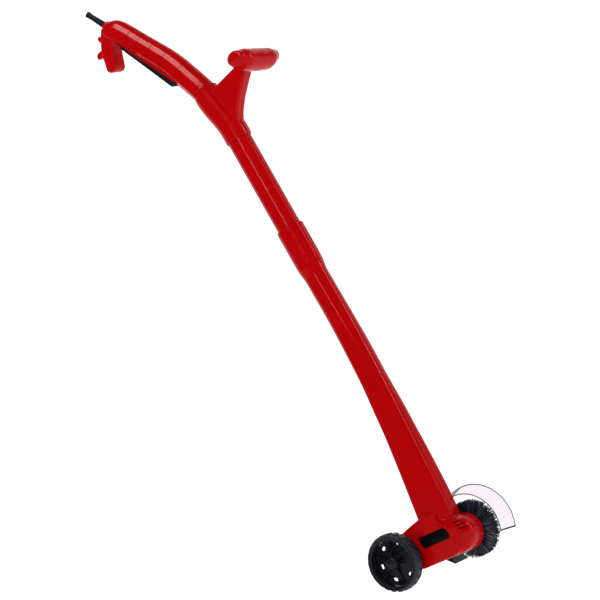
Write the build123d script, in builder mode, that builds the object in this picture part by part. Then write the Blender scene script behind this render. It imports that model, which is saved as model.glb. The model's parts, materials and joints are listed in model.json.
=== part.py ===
from build123d import *
import os
from math import radians, cos, sin, pi, tan, hypot, atan2

os.makedirs("parts", exist_ok=True)

# ---------------------------------------------------------------- driving dimensions (mm)
# The machine stands in its working pose: +X forward, +Y to the user's left, +Z up, ground at Z = 0.
# Lengths below are counted from the wheel axis (x = 0) and from the middle plane of the shaft (y = 0).
OX, OY = -1.65, 1.65             # moves the model so that the middle of its footprint is the origin
WHEEL_R = 50.0                 # guide wheel
WHEEL_Y0, WHEEL_Y1 = -57.0, -33.0
AXLE_R = 4.0
BRUSH_X, BRUSH_Z = 117.0, 50.0 # brush spindle
BRUSH_R = 50.0
BRUSH_Y0, BRUSH_Y1 = 24.0, 44.0
SPINDLE_R = 4.0
HEAD_Y0, HEAD_Y1 = -27.0, 21.0 # flanks of the head
DOME_R = 30.0
WALL = 2.6                     # moulded shell thickness
TUBE_R, TUBE_T = 21.0, 2.0
COLLAR_R = 24.25
SLEEVE_R = 23.6
LEAN = -6.94                   # the straight tube leans back by this angle
GRIP_X, GRIP_Z = 115.0, 930.0  # middle of the front T grip
MOTOR_X = 90.0
MOTOR_R = 18.0
WORM_R, WORM_LEAD = 5.5, 9.65
GEAR_R, GEAR_TEETH = 21.5, 28
PIVOT = (-122.0, 1080.0)       # trigger pivot (x, z)
SCREW_R = 1.75

SIDE = Plane(origin=(OX, OY, 0), x_dir=(1, 0, 0), z_dir=(0, -1, 0))   # local (x, z); offset(d) lies at y = -d


def level(z):
    """Horizontal plane at height z, in layout coordinates."""
    return Plane(origin=(OX, OY, z), x_dir=(1, 0, 0), z_dir=(0, 0, 1))


def station(x, z, lean):
    """Plane square to the handle line at (x, z); lean is the line's angle from the vertical."""
    a = radians(lean)
    return Plane(origin=(OX + x, OY, z), x_dir=(cos(a), 0, -sin(a)), z_dir=(sin(a), 0, cos(a)))


def radial(x, z, deg):
    """Plane that holds a cross axis through (x, z): local x is the radius at angle deg, local y is Y."""
    a = radians(deg)
    return Plane(origin=(OX + x, OY, z), x_dir=(cos(a), 0, sin(a)), z_dir=(-sin(a), 0, cos(a)))


def along(p, q, r):
    """Plane at p looking at q (layout points), for round pieces that lie along a line."""
    return Plane(origin=(OX + p[0], OY + p[1], p[2]), z_dir=(q[0] - p[0], q[1] - p[1], q[2] - p[2]))


def cross_axis(x, z):
    return Axis((OX + x, OY, z), (0, -1, 0))


# ---------------------------------------------------------------- lower housing: collar, shaft and head
# x, z, lean, width in x, width in y, corner radius
SHAFT = [
    (54.0, 570, -7.0, 43.4, 43.4, 19.5),
    (61.8, 512, -7.6, 43.0, 43.0, 19.5),
    (68.9, 459, -7.4, 43.0, 43.0, 19.5),
    (78.0, 378, -6.0, 43.0, 43.0, 19.0),
    (82.5, 324, -4.7, 43.6, 43.0, 18.0),
    (85.5, 284, -3.4, 45.0, 42.8, 16.0),
    (88.0, 235, -2.2, 47.6, 42.6, 13.5),
    (89.2, 200, -1.3, 51.2, 42.4, 11.5),
    (90.0, 160, -0.6, 55.6, 42.2, 10.0),
    (90.3, 120, 0.0, 60.0, 42.0, 9.0),
    (89.9, 71, 0.0, 62.6, 42.0, 8.5),
]
TUBE_SCREW = (48.5, 615.0)
GUARD_SCREWS = [(95, 98), (72, 84)]
BRACKET_SCREWS = [(62.5, 58), (66, 34)]
HOUSING_SCREWS = [(71, 528), (85, 420), (93, 330), (102, 240), (74, 236), (108, 186), (44, 80), (50, 30)]
COLLAR_TOP = (45.5, 640.0)
COLLAR_LOW = (54.0, 570.0)
CONE_LOW = (57.4, 545.0)

def housing_outside(side):
    """Outer form of one half of the lower housing; side is -1 for the near half, +1 for the far half."""
    with BuildPart() as form:
        # head: a flat-sided box from the wheel boss to the round gear dome
        with BuildSketch(SIDE):
            with BuildLine():
                Polyline((117, 20), (34, 20), (12, 30.5))
                Polyline((-6.6, 62.4), (14, 86), (31, 91), (66, 99), (117, 99), (117, 80))
                ThreePointArc((117, 80), (147, 50), (117, 20))
                ThreePointArc((12, 30.5), (-13.5, 45.5), (-6.6, 62.4))
            make_face()
        extrude(amount=-HEAD_Y0 if side < 0 else -HEAD_Y1)
        fillet(form.faces().filter_by(Axis.Y).sort_by(Axis.Y)[0 if side < 0 else -1].edges(), radius=4.5 if side < 0 else 3.0)
        # shaft, from round under the collar to a soft rectangle at the head
        for x, z, lean, wx, wy, r in SHAFT:
            with BuildSketch(station(x, z, lean)):
                RectangleRounded(wx, wy, r)
                with Locations((0, side * 50)):
                    Rectangle(100, 100, mode=Mode.INTERSECT)
        loft(ruled=True)
        # collar and its cone
        with BuildSketch(station(*COLLAR_LOW, LEAN)):
            Circle(COLLAR_R)
            with Locations((0, side * 50)):
                Rectangle(100, 100, mode=Mode.INTERSECT)
        extrude(amount=hypot(COLLAR_TOP[0] - COLLAR_LOW[0], COLLAR_TOP[1] - COLLAR_LOW[1]))
        for (x, z), r in ((COLLAR_LOW, COLLAR_R), (CONE_LOW, 21.6)):
            with BuildSketch(station(x, z, LEAN)):
                Circle(r)
                with Locations((0, side * 50)):
                    Rectangle(100, 100, mode=Mode.INTERSECT)
        loft(ruled=True)
    return form.part


def housing_inside(side):
    """Hollow of one half of the lower housing."""
    with BuildPart() as hollow:
        with BuildSketch(SIDE):
            with BuildLine():
                Polyline((117, 22.6), (34.5, 22.6), (15, 31.8))
                Polyline((15, 31.8), (15, 82), (32, 88.4), (66, 96.4), (117, 96.4), (117, 77.4))
                ThreePointArc((117, 77.4), (144.4, 50), (117, 22.6))
            make_face()
        extrude(amount=(-HEAD_Y0 - WALL) if side < 0 else -(HEAD_Y1 - WALL))
        for x, z, lean, wx, wy, r in SHAFT[1:]:
            with BuildSketch(station(x, z, lean)):
                RectangleRounded(wx - 2 * WALL, wy - 2 * WALL, r - WALL)
                with Locations((0, side * 50)):
                    Rectangle(100, 100, mode=Mode.INTERSECT)
        loft(ruled=True)
        # lead passage under the socket, then the socket for the tube
        with BuildSketch(station(62.6, 505, LEAN)):
            Circle(16.5)
            with Locations((0, side * 50)):
                Rectangle(100, 100, mode=Mode.INTERSECT)
        extrude(amount=100)
        with BuildSketch(station(52.2, 585, LEAN)):
            Circle(TUBE_R + 0.08)
            with Locations((0, side * 50)):
                Rectangle(100, 100, mode=Mode.INTERSECT)
        extrude(amount=70)
    return hollow.part


near_form, far_form = housing_outside(-1), housing_outside(1)
near_hollow, far_hollow = housing_inside(-1), housing_inside(1)

with BuildPart() as lower_housing_right:
    add(near_form)
    add(near_hollow, mode=Mode.SUBTRACT)
    # screw posts
    with BuildSketch(SIDE):
        with Locations(*HOUSING_SCREWS[:6]):
            Circle(3.6)
    extrude(amount=19.5)
    with BuildSketch(SIDE):
        with Locations(*HOUSING_SCREWS[6:]):
            Circle(3.8)
    extrude(amount=-HEAD_Y0 - 1.5)
    # seat of the near spindle bearing
    with BuildSketch(SIDE.offset(16)):
        with Locations((BRUSH_X, BRUSH_Z)):
            Circle(13.5)
    extrude(amount=9.5)
    with BuildSketch(SIDE.offset(16)):
        with Locations((BRUSH_X, BRUSH_Z)):
            Circle(11.02)
    extrude(amount=8.4, mode=Mode.SUBTRACT)
    # half of the seat of the worm's end bush, on the floor of the head
    with BuildSketch(level(21.5)):
        with Locations((MOTOR_X, 0)):
            Circle(7.5)
            Circle(5.02, mode=Mode.SUBTRACT)
        with Locations((MOTOR_X, -50)):
            Rectangle(100, 100, mode=Mode.INTERSECT)
    extrude(amount=9.5)
    # axle bore through the wheel boss
    with BuildSketch(SIDE.offset(-1)):
        with Locations((0, 50)):
            Circle(AXLE_R + 0.02)
    extrude(amount=60, mode=Mode.SUBTRACT)
    # screw pilots
    with BuildSketch(SIDE.offset(-1)):
        with Locations(*HOUSING_SCREWS):
            Circle(SCREW_R + 0.02)
    extrude(amount=1 + 14, mode=Mode.SUBTRACT)
    # three cooling slots through the dome's near corner
    for i in range(3):
        with BuildSketch(level(56.0 + 7.0 * i)):
            with Locations((140.5 - 1.5 * i, -24.0)):
                Rectangle(30, 12)
        extrude(amount=2.6, mode=Mode.SUBTRACT)
lower_housing_right.part.label = "lower_housing_right"
export_step(lower_housing_right.part, "parts/lower_housing_right.step")

with BuildPart() as lower_housing_left:
    add(far_form)
    add(far_hollow, mode=Mode.SUBTRACT)
    with BuildSketch(SIDE):
        with Locations(*HOUSING_SCREWS[:6]):
            Circle(3.6)
    extrude(amount=-19.5)
    with BuildSketch(SIDE):
        with Locations(*HOUSING_SCREWS[6:]):
            Circle(3.8)
    extrude(amount=-HEAD_Y1 + 1.5)
    # seat of the far spindle bearing and its seal
    with BuildSketch(SIDE.offset(-11)):
        with Locations((BRUSH_X, BRUSH_Z)):
            Circle(13.5)
    extrude(amount=-7.5)
    with BuildSketch(SIDE.offset(-10)):
        with Locations((BRUSH_X, BRUSH_Z)):
            Circle(11.02)
    extrude(amount=-12, mode=Mode.SUBTRACT)
    with BuildSketch(level(21.5)):
        with Locations((MOTOR_X, 0)):
            Circle(7.5)
            Circle(5.02, mode=Mode.SUBTRACT)
        with Locations((MOTOR_X, 50)):
            Rectangle(100, 100, mode=Mode.INTERSECT)
    extrude(amount=9.5)
    with BuildSketch(SIDE.offset(1)):
        with Locations((0, 50)):
            Circle(AXLE_R + 0.02)
    extrude(amount=-15, mode=Mode.SUBTRACT)
    # screw clearance holes with sunk heads
    with BuildSketch(SIDE.offset(1)):
        with Locations(*HOUSING_SCREWS):
            Circle(SCREW_R + 0.02)
    extrude(amount=-30, mode=Mode.SUBTRACT)
    with BuildSketch(SIDE.offset(-16.5)):
        with Locations(*HOUSING_SCREWS):
            Circle(3.2)
    extrude(amount=-12, mode=Mode.SUBTRACT)
    # pilots of the guard and shield screws, and the hole of the tube screw
    with BuildSketch(SIDE.offset(-17.0)):
        with Locations(*GUARD_SCREWS, *BRACKET_SCREWS):
            Circle(SCREW_R + 0.02)
    extrude(amount=-6, mode=Mode.SUBTRACT)
    with BuildSketch(SIDE.offset(-15)):
        with Locations(TUBE_SCREW):
            Circle(1.95)
    extrude(amount=-15, mode=Mode.SUBTRACT)
lower_housing_left.part.label = "lower_housing_left"
export_step(lower_housing_left.part, "parts/lower_housing_left.step")

# head of each self-tapping screw sits in the far half's sunk hole
with BuildPart() as housing_screws:
    with BuildSketch(SIDE.offset(12)):
        with Locations(*HOUSING_SCREWS):
            Circle(SCREW_R)
    extrude(amount=-30)
    with BuildSketch(SIDE.offset(-16.5)):
        with Locations(*HOUSING_SCREWS):
            Circle(3.0)
    extrude(amount=-2.2)
    with BuildSketch(SIDE.offset(-18.7)):
        with Locations(*HOUSING_SCREWS):
            RegularPolygon(radius=1.3, side_count=6)
    extrude(amount=1.2, mode=Mode.SUBTRACT)
housing_screws.part.label = "housing_screws"
export_step(housing_screws.part, "parts/housing_screws.step")

# blank name plate on the near flank of the head
with BuildPart() as label_plate:
    with BuildSketch(SIDE.offset(-HEAD_Y0)):
        with Locations((79, 61)):
            RectangleRounded(58, 20.5, 4.0)
    extrude(amount=0.8)
    fillet(label_plate.faces().filter_by(Axis.Y).sort_by(Axis.Y)[0].edges(), radius=0.35)
label_plate.part.label = "label_plate"
export_step(label_plate.part, "parts/label_plate.step")

# ---------------------------------------------------------------- motor and drive
with BuildPart() as motor_can:
    with BuildSketch(level(100)):
        with Locations((MOTOR_X, 0)):
            Circle(MOTOR_R)
            Circle(MOTOR_R - 1.8, mode=Mode.SUBTRACT)
    extrude(amount=56)
    with BuildSketch(level(97)):
        with Locations((MOTOR_X, 0)):
            Circle(MOTOR_R)
            Circle(5.5, mode=Mode.SUBTRACT)
    extrude(amount=3)
    with BuildSketch(level(97)):
        with Locations((MOTOR_X, 0)):
            with PolarLocations(12, 6):
                Circle(2.6)
    extrude(amount=3, mode=Mode.SUBTRACT)
    # two magnets bonded inside the can
    with BuildSketch(level(106)):
        with Locations((MOTOR_X, 0)):
            Circle(MOTOR_R - 1.5)
            Circle(13.0, mode=Mode.SUBTRACT)
            Rectangle(10, 40, mode=Mode.SUBTRACT)
    extrude(amount=38)
motor_can.part.label = "motor_can"
export_step(motor_can.part, "parts/motor_can.step")

with BuildPart() as motor_end_cap:
    with BuildSketch(level(156)):
        with Locations((MOTOR_X, 0)):
            Circle(MOTOR_R)
    extrude(amount=12)
    with BuildSketch(level(156)):
        with Locations((MOTOR_X, 0)):
            Circle(12.5)
    extrude(amount=6, mode=Mode.SUBTRACT)
    with BuildSketch(level(162)):
        with Locations((MOTOR_X, 0)):
            Circle(5.52)
    extrude(amount=6, mode=Mode.SUBTRACT)
    # guides of the two carbon brushes
    with BuildSketch(level(157.2)):
        with Locations((MOTOR_X, 0)):
            Rectangle(36.4, 4.2)
    extrude(amount=4.2, mode=Mode.SUBTRACT)
    fillet(motor_end_cap.faces().filter_by(Axis.Z).sort_by(Axis.Z)[-1].outer_wire().edges(), radius=2.0)
motor_end_cap.part.label = "motor_end_cap"
export_step(motor_end_cap.part, "parts/motor_end_cap.step")

with BuildPart() as carbon_brushes:
    with BuildSketch(level(157.3)):
        with Locations((MOTOR_X - 11.4, 0), (MOTOR_X + 11.4, 0)):
            Rectangle(10, 4.0)
    extrude(amount=4.0)
carbon_brushes.part.label = "carbon_brushes"
export_step(carbon_brushes.part, "parts/carbon_brushes.step")

# shaft, wound core and commutator
with BuildPart() as armature:
    with BuildSketch(level(24)):
        with Locations((MOTOR_X, 0)):
            Circle(2.5)
    extrude(amount=142.5)
    with BuildSketch(level(110)):
        with Locations((MOTOR_X, 0)):
            Circle(12.2)
            with PolarLocations(10.9, 12):
                Rectangle(3.0, 1.6, mode=Mode.SUBTRACT)
    extrude(amount=30)
    for z0 in (104, 140):
        with BuildSketch(level(z0)):
            with Locations((MOTOR_X, 0)):
                Circle(10.0)
        extrude(amount=6)
    with BuildSketch(level(146)):
        with Locations((MOTOR_X, 0)):
            Circle(6.2)
            with PolarLocations(6.2, 12):
                Rectangle(0.8, 0.5, mode=Mode.SUBTRACT)
    extrude(amount=14)
armature.part.label = "armature"
export_step(armature.part, "parts/armature.step")

with BuildPart() as motor_fan:
    with BuildSketch(level(84)):
        with Locations((MOTOR_X, 0)):
            Circle(15.5)
            Circle(2.5, mode=Mode.SUBTRACT)
    extrude(amount=1.6)
    with BuildSketch(level(84)):
        with Locations((MOTOR_X, 0)):
            Circle(5.0)
            Circle(2.5, mode=Mode.SUBTRACT)
    extrude(amount=9)
    with BuildSketch(level(84)):
        with Locations((MOTOR_X, 0)):
            with PolarLocations(10.0, 10):
                Rectangle(10.5, 1.3)
    extrude(amount=8.0)
motor_fan.part.label = "motor_fan"
export_step(motor_fan.part, "parts/motor_fan.step")

with BuildPart() as motor_bearing_lower:
    with BuildSketch(level(96.5)):
        with Locations((MOTOR_X, 0)):
            Circle(5.48)
            Circle(2.55, mode=Mode.SUBTRACT)
    extrude(amount=4.5)
    chamfer(motor_bearing_lower.edges().filter_by(GeomType.CIRCLE).group_by(SortBy.RADIUS)[-1], length=0.4)
motor_bearing_lower.part.label = "motor_bearing_lower"
export_step(motor_bearing_lower.part, "parts/motor_bearing_lower.step")

with BuildPart() as motor_bearing_upper:
    with BuildSketch(level(162.3)):
        with Locations((MOTOR_X, 0)):
            Circle(5.5)
            Circle(2.55, mode=Mode.SUBTRACT)
    extrude(amount=4.5)
    chamfer(motor_bearing_upper.edges().filter_by(GeomType.CIRCLE).group_by(SortBy.RADIUS)[-1], length=0.4)
motor_bearing_upper.part.label = "motor_bearing_upper"
export_step(motor_bearing_upper.part, "parts/motor_bearing_upper.step")

with BuildPart() as worm_bearing:
    with BuildSketch(level(22.7)):
        with Locations((MOTOR_X, 0)):
            Circle(4.98)
            Circle(2.55, mode=Mode.SUBTRACT)
    extrude(amount=8.3)
worm_bearing.part.label = "worm_bearing"
export_step(worm_bearing.part, "parts/worm_bearing.step")

# two-start worm: core and two threads
with BuildPart() as worm:
    for turn in (0, 180):
        with BuildLine(Plane(origin=(OX + MOTOR_X, OY, BRUSH_Z - WORM_LEAD), x_dir=(cos(radians(turn)), sin(radians(turn)), 0), z_dir=(0, 0, 1))):
            Helix(pitch=WORM_LEAD, height=2 * WORM_LEAD, radius=3.7)
        with BuildSketch(Plane(origin=(OX + MOTOR_X, OY, BRUSH_Z - WORM_LEAD), x_dir=(cos(radians(turn)), sin(radians(turn)), 0), z_dir=(sin(radians(turn)), -cos(radians(turn)), 0))):
            Polygon((3.5, -1.35), (6.9, -0.55), (6.9, 0.55), (3.5, 1.35), align=None)
        sweep(is_frenet=True)
    with BuildSketch(level(BRUSH_Z - 13)):
        with Locations((MOTOR_X, 0)):
            Circle(4.0)
    extrude(amount=26)
    with BuildSketch(level(BRUSH_Z - 14)):
        with Locations((MOTOR_X, 0)):
            Circle(2.5)
    extrude(amount=28, mode=Mode.SUBTRACT)
worm.part.label = "worm"
export_step(worm.part, "parts/worm.step")

# worm wheel: narrow straight teeth with enough backlash for the worm's lead
GEAR_HALF = 4.5
gear_outline = []
for i in range(GEAR_TEETH):
    mid = 360.0 / GEAR_TEETH * (i + 0.5)
    for r, half in ((19.8, 2.8), (22.5, 1.3), (22.5, -1.3), (19.8, -2.8)):
        a = radians(mid - half)
        gear_outline.append((r * cos(a), r * sin(a)))
with BuildPart() as worm_wheel:
    with BuildSketch(SIDE.offset(-GEAR_HALF)):
        with Locations((BRUSH_X, BRUSH_Z)):
            Polygon(*gear_outline, align=None)
    extrude(amount=2 * GEAR_HALF)
    with BuildSketch(SIDE.offset(-8)):
        with Locations((BRUSH_X, BRUSH_Z)):
            Circle(8.0)
    extrude(amount=14)
    with BuildSketch(SIDE.offset(-9)):
        with Locations((BRUSH_X, BRUSH_Z)):
            Circle(SPINDLE_R)
    extrude(amount=18, mode=Mode.SUBTRACT)
    with BuildSketch(SIDE.offset(-GEAR_HALF)):
        with Locations((BRUSH_X, BRUSH_Z)):
            Circle(17)
            Circle(10, mode=Mode.SUBTRACT)
    extrude(amount=2.5, mode=Mode.SUBTRACT)
worm_wheel.part.label = "worm_wheel"
export_step(worm_wheel.part, "parts/worm_wheel.step")

# ---------------------------------------------------------------- spindle, brush and guard
with BuildPart() as brush_spindle:
    with BuildSketch(SIDE.offset(23.5)):
        with Locations((BRUSH_X, BRUSH_Z)):
            Circle(SPINDLE_R)
    extrude(amount=-(23.5 + 52))
    # two flats that drive the brush, and a small end chamfer
    with BuildSketch(SIDE.offset(-26)):
        with Locations((BRUSH_X, BRUSH_Z + 4.6), (BRUSH_X, BRUSH_Z - 4.6)):
            Rectangle(10, 2.4)
    extrude(amount=-18.5, mode=Mode.SUBTRACT)
    chamfer(brush_spindle.faces().filter_by(Axis.Y).sort_by(Axis.Y)[-1].edges(), length=0.6)
brush_spindle.part.label = "brush_spindle"
export_step(brush_spindle.part, "parts/brush_spindle.step")

with BuildPart() as spindle_bearing_near:
    with BuildSketch(SIDE.offset(16.4)):
        with Locations((BRUSH_X, BRUSH_Z)):
            Circle(11.0)
            Circle(SPINDLE_R + 0.05, mode=Mode.SUBTRACT)
    extrude(amount=7.0)
    with BuildSketch(SIDE.offset(16.4)):
        with Locations((BRUSH_X, BRUSH_Z)):
            Circle(9.0)
            Circle(6.2, mode=Mode.SUBTRACT)
    extrude(amount=0.6, mode=Mode.SUBTRACT)
spindle_bearing_near.part.label = "spindle_bearing_near"
export_step(spindle_bearing_near.part, "parts/spindle_bearing_near.step")

with BuildPart() as spindle_bearing_far:
    with BuildSketch(SIDE.offset(-10.2)):
        with Locations((BRUSH_X, BRUSH_Z)):
            Circle(11.0)
            Circle(SPINDLE_R + 0.05, mode=Mode.SUBTRACT)
    extrude(amount=-7.0)
    with BuildSketch(SIDE.offset(-10.2)):
        with Locations((BRUSH_X, BRUSH_Z)):
            Circle(9.0)
            Circle(6.2, mode=Mode.SUBTRACT)
    extrude(amount=-0.6, mode=Mode.SUBTRACT)
spindle_bearing_far.part.label = "spindle_bearing_far"
export_step(spindle_bearing_far.part, "parts/spindle_bearing_far.step")

with BuildPart() as spindle_seal:
    with BuildSketch(SIDE.offset(-17.3)):
        with Locations((BRUSH_X, BRUSH_Z)):
            Circle(11.0)
            Circle(SPINDLE_R + 0.08, mode=Mode.SUBTRACT)
    extrude(amount=-2.6)
spindle_seal.part.label = "spindle_seal"
export_step(spindle_seal.part, "parts/spindle_seal.step")

with BuildPart() as brush_flange:
    with BuildSketch(SIDE.offset(-20.4)):
        with Locations((BRUSH_X, BRUSH_Z)):
            Circle(9.0)
            Circle(SPINDLE_R, mode=Mode.SUBTRACT)
    extrude(amount=-1.4)
    with BuildSketch(SIDE.offset(-21.8)):
        with Locations((BRUSH_X, BRUSH_Z)):
            Circle(19.0)
            Circle(SPINDLE_R, mode=Mode.SUBTRACT)
    extrude(amount=-2.2)
    chamfer(brush_flange.faces().sort_by(Axis.Y)[-1].outer_wire().edges(), length=0.6)
brush_flange.part.label = "brush_flange"
export_step(brush_flange.part, "parts/brush_flange.step")

with BuildPart() as brush_hub:
    with BuildSketch(SIDE.offset(-BRUSH_Y0)):
        with Locations((BRUSH_X, BRUSH_Z)):
            Circle(22.0)
            Circle(SPINDLE_R, mode=Mode.SUBTRACT)
    extrude(amount=-(BRUSH_Y1 - BRUSH_Y0))
    # a keyhole bore: the spindle's flats key into the hub
    with BuildSketch(SIDE.offset(-26.2)):
        with Locations((BRUSH_X, BRUSH_Z + 3.75), (BRUSH_X, BRUSH_Z - 3.75)):
            Rectangle(4.4, 0.7)
    extrude(amount=-17.8)
    with BuildSketch(SIDE.offset(-BRUSH_Y1)):
        with Locations((BRUSH_X, BRUSH_Z)):
            Circle(18.0)
            Circle(10.5, mode=Mode.SUBTRACT)
    extrude(amount=5.0, mode=Mode.SUBTRACT)
    chamfer(brush_hub.faces().sort_by(Axis.Y)[-1].outer_wire().edges(), length=1.0)
brush_hub.part.label = "brush_hub"
export_step(brush_hub.part, "parts/brush_hub.step")

with BuildPart() as bristle_ring:
    with BuildSketch(SIDE.offset(-BRUSH_Y0)):
        with Locations((BRUSH_X, BRUSH_Z)):
            Circle(BRUSH_R)
            Circle(22.0, mode=Mode.SUBTRACT)
    extrude(amount=-(BRUSH_Y1 - BRUSH_Y0))
    chamfer(bristle_ring.edges().filter_by(GeomType.CIRCLE).group_by(SortBy.RADIUS)[-1], length=1.5)
bristle_ring.part.label = "bristle_ring"
export_step(bristle_ring.part, "parts/bristle_ring.step")

with BuildPart() as brush_washer:
    with BuildSketch(SIDE.offset(-BRUSH_Y1)):
        with Locations((BRUSH_X, BRUSH_Z)):
            Circle(10.0)
            Circle(SPINDLE_R + 0.1, mode=Mode.SUBTRACT)
    extrude(amount=-1.6)
brush_washer.part.label = "brush_washer"
export_step(brush_washer.part, "parts/brush_washer.step")

with BuildPart() as brush_nut:
    with BuildSketch(SIDE.offset(-BRUSH_Y1 - 1.6)):
        with Locations((BRUSH_X, BRUSH_Z)):
            RegularPolygon(radius=7.5, side_count=6)
            Circle(SPINDLE_R, mode=Mode.SUBTRACT)
    extrude(amount=-5.2)
    with BuildSketch(SIDE.offset(-BRUSH_Y1 - 1.6)):
        with Locations((BRUSH_X, BRUSH_Z)):
            Circle(8.6)
            Circle(SPINDLE_R, mode=Mode.SUBTRACT)
    extrude(amount=-1.2)
brush_nut.part.label = "brush_nut"
export_step(brush_nut.part, "parts/brush_nut.step")

# clear guard: a flared hood over the front and top of the brush, with a flange on the near side
GUARD_A0, GUARD_A1 = -21.0, 128.0
with BuildPart() as splash_guard:
    with BuildSketch(radial(BRUSH_X, BRUSH_Z, GUARD_A0)):
        Polygon((60.4, 21.2), (62.4, 21.2), (71.8, 54.4), (69.8, 54.4), align=None)
    revolve(axis=cross_axis(BRUSH_X, BRUSH_Z), revolution_arc=GUARD_A1 - GUARD_A0)
    # mounting flange against the far flank of the head
    with BuildSketch(SIDE.offset(-21.2)):
        with Locations((BRUSH_X, BRUSH_Z)):
            Circle(61.4)
            Circle(26.0, mode=Mode.SUBTRACT)
        with Locations((BRUSH_X - 29, BRUSH_Z + 36)):
            Rectangle(44, 30, mode=Mode.INTERSECT)
    extrude(amount=-1.8)
    with BuildSketch(SIDE.offset(-19)):
        with Locations(*GUARD_SCREWS):
            Circle(SCREW_R + 0.05)
    extrude(amount=-5, mode=Mode.SUBTRACT)
splash_guard.part.label = "splash_guard"
export_step(splash_guard.part, "parts/splash_guard.step")

# black shield behind the brush, ending in a low slanted flap
with BuildPart() as guard_bracket:
    with BuildSketch(radial(BRUSH_X, BRUSH_Z, GUARD_A1 + 0.5)):
        Polygon((62.2, 21.2), (64.6, 21.2), (67.0, 54.4), (64.6, 54.4), align=None)
    revolve(axis=cross_axis(BRUSH_X, BRUSH_Z), revolution_arc=207 - GUARD_A1)
    with BuildSketch(SIDE.offset(-21.2)):
        with Locations((BRUSH_X, BRUSH_Z)):
            Circle(63.4)
            Circle(34.0, mode=Mode.SUBTRACT)
        with Locations((BRUSH_X - 43, BRUSH_Z - 6)):
            Rectangle(30, 50, mode=Mode.INTERSECT)
    extrude(amount=-1.8)
    with BuildSketch(SIDE.offset(-14.5)):
        with BuildLine():
            Polyline((58.0, 17.0), (60.0, 19.8), (62.4, 19.8), (71.8, 8.4), (69.8, 7.2), close=True)
        make_face()
    extrude(amount=-39.9)
    with BuildSketch(SIDE.offset(-14.5)):
        with BuildLine():
            Polyline((56.5, 17.2), (63.0, 17.2), (63.0, 19.8), (56.5, 19.8), close=True)
        make_face()
    extrude(amount=-8.5)
    with BuildSketch(SIDE.offset(-19)):
        with Locations(*BRACKET_SCREWS):
            Circle(SCREW_R + 0.05)
    extrude(amount=-5, mode=Mode.SUBTRACT)
guard_bracket.part.label = "guard_bracket"
export_step(guard_bracket.part, "parts/guard_bracket.step")

# ---------------------------------------------------------------- guide wheel
with BuildPart() as wheel_axle:
    with BuildSketch(SIDE.offset(-13.5)):
        with Locations((0, 50)):
            Circle(AXLE_R)
    extrude(amount=13.5 + 55.5)
    with BuildSketch(SIDE.offset(28.2)):
        with Locations((0, 50)):
            Circle(7.0)
    extrude(amount=1.6)
    with BuildSketch(SIDE.offset(52.0)):
        with Locations((0, 50)):
            Circle(4.2)
            Circle(3.2, mode=Mode.SUBTRACT)
    extrude(amount=1.1, mode=Mode.SUBTRACT)
wheel_axle.part.label = "wheel_axle"
export_step(wheel_axle.part, "parts/wheel_axle.step")

with BuildPart() as wheel_washer:
    with BuildSketch(SIDE.offset(29.9)):
        with Locations((0, 50)):
            Circle(8.0)
            Circle(AXLE_R + 0.1, mode=Mode.SUBTRACT)
    extrude(amount=1.2)
wheel_washer.part.label = "wheel_washer"
export_step(wheel_washer.part, "parts/wheel_washer.step")

with BuildPart() as wheel_rim:
    # barrel, web and hub as one turned profile: local x is the radius
    with BuildSketch(radial(0, 50, 0)):
        with BuildLine():
            Polyline((4.05, -51.0), (9.0, -51.0), (9.6, -41.5), (37.0, -38.5), (39.0, -55.8), (41.4, -55.8),
                     (41.4, -34.0), (38.0, -34.0), (36.5, -36.0), (9.6, -38.6), (9.0, -32.0), (4.05, -32.0), close=True)
        make_face()
    revolve(axis=cross_axis(0, 50), revolution_arc=360)
    with BuildSketch(SIDE.offset(30)):
        with Locations((0, 50)):
            with PolarLocations(24.0, 6, start_angle=12):
                Rectangle(19, 13)
    extrude(amount=14, mode=Mode.SUBTRACT)
    with BuildSketch(SIDE.offset(37.5)):
        with Locations((0, 50)):
            with PolarLocations(25.3, 6, start_angle=42):
                Rectangle(27, 2.6)
    extrude(amount=9.5)
wheel_rim.part.label = "wheel_rim"
export_step(wheel_rim.part, "parts/wheel_rim.step")

with BuildPart() as tyre:
    with BuildSketch(radial(0, 50, 0)):
        with BuildLine():
            Polyline((41.4, WHEEL_Y0), (45.0, WHEEL_Y0), (48.8, WHEEL_Y0 + 2.4), (WHEEL_R, WHEEL_Y0 + 5.5), (WHEEL_R, WHEEL_Y1 - 5.5),
                     (48.8, WHEEL_Y1 - 2.4), (45.0, WHEEL_Y1), (41.4, WHEEL_Y1), close=True)
        make_face()
    revolve(axis=cross_axis(0, 50), revolution_arc=360)
tyre.part.label = "tyre"
export_step(tyre.part, "parts/tyre.step")

with BuildPart() as wheel_clip:
    with BuildSketch(SIDE.offset(52.05)):
        with Locations((0, 50)):
            Circle(6.6)
            Circle(3.25, mode=Mode.SUBTRACT)
        with Locations((5, 50)):
            Rectangle(10, 3.0, mode=Mode.SUBTRACT)
    extrude(amount=1.0)
wheel_clip.part.label = "wheel_clip"
export_step(wheel_clip.part, "parts/wheel_clip.step")

# hub cap: a shallow dome over the clip, pressed on the hub
with BuildPart() as hub_cap:
    with BuildSketch(radial(0, 50, 0)):
        with BuildLine():
            Polyline((0.0, -57.6), (0.0, -59.8), (6.0, -59.2), (9.8, -57.4), (11.2, -54.5), (11.2, -45.0), (9.5, -45.0), (9.5, -54.5), (8.0, -57.0), close=True)
        make_face()
    revolve(axis=cross_axis(0, 50), revolution_arc=360)
hub_cap.part.label = "hub_cap"
export_step(hub_cap.part, "parts/hub_cap.step")

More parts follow.
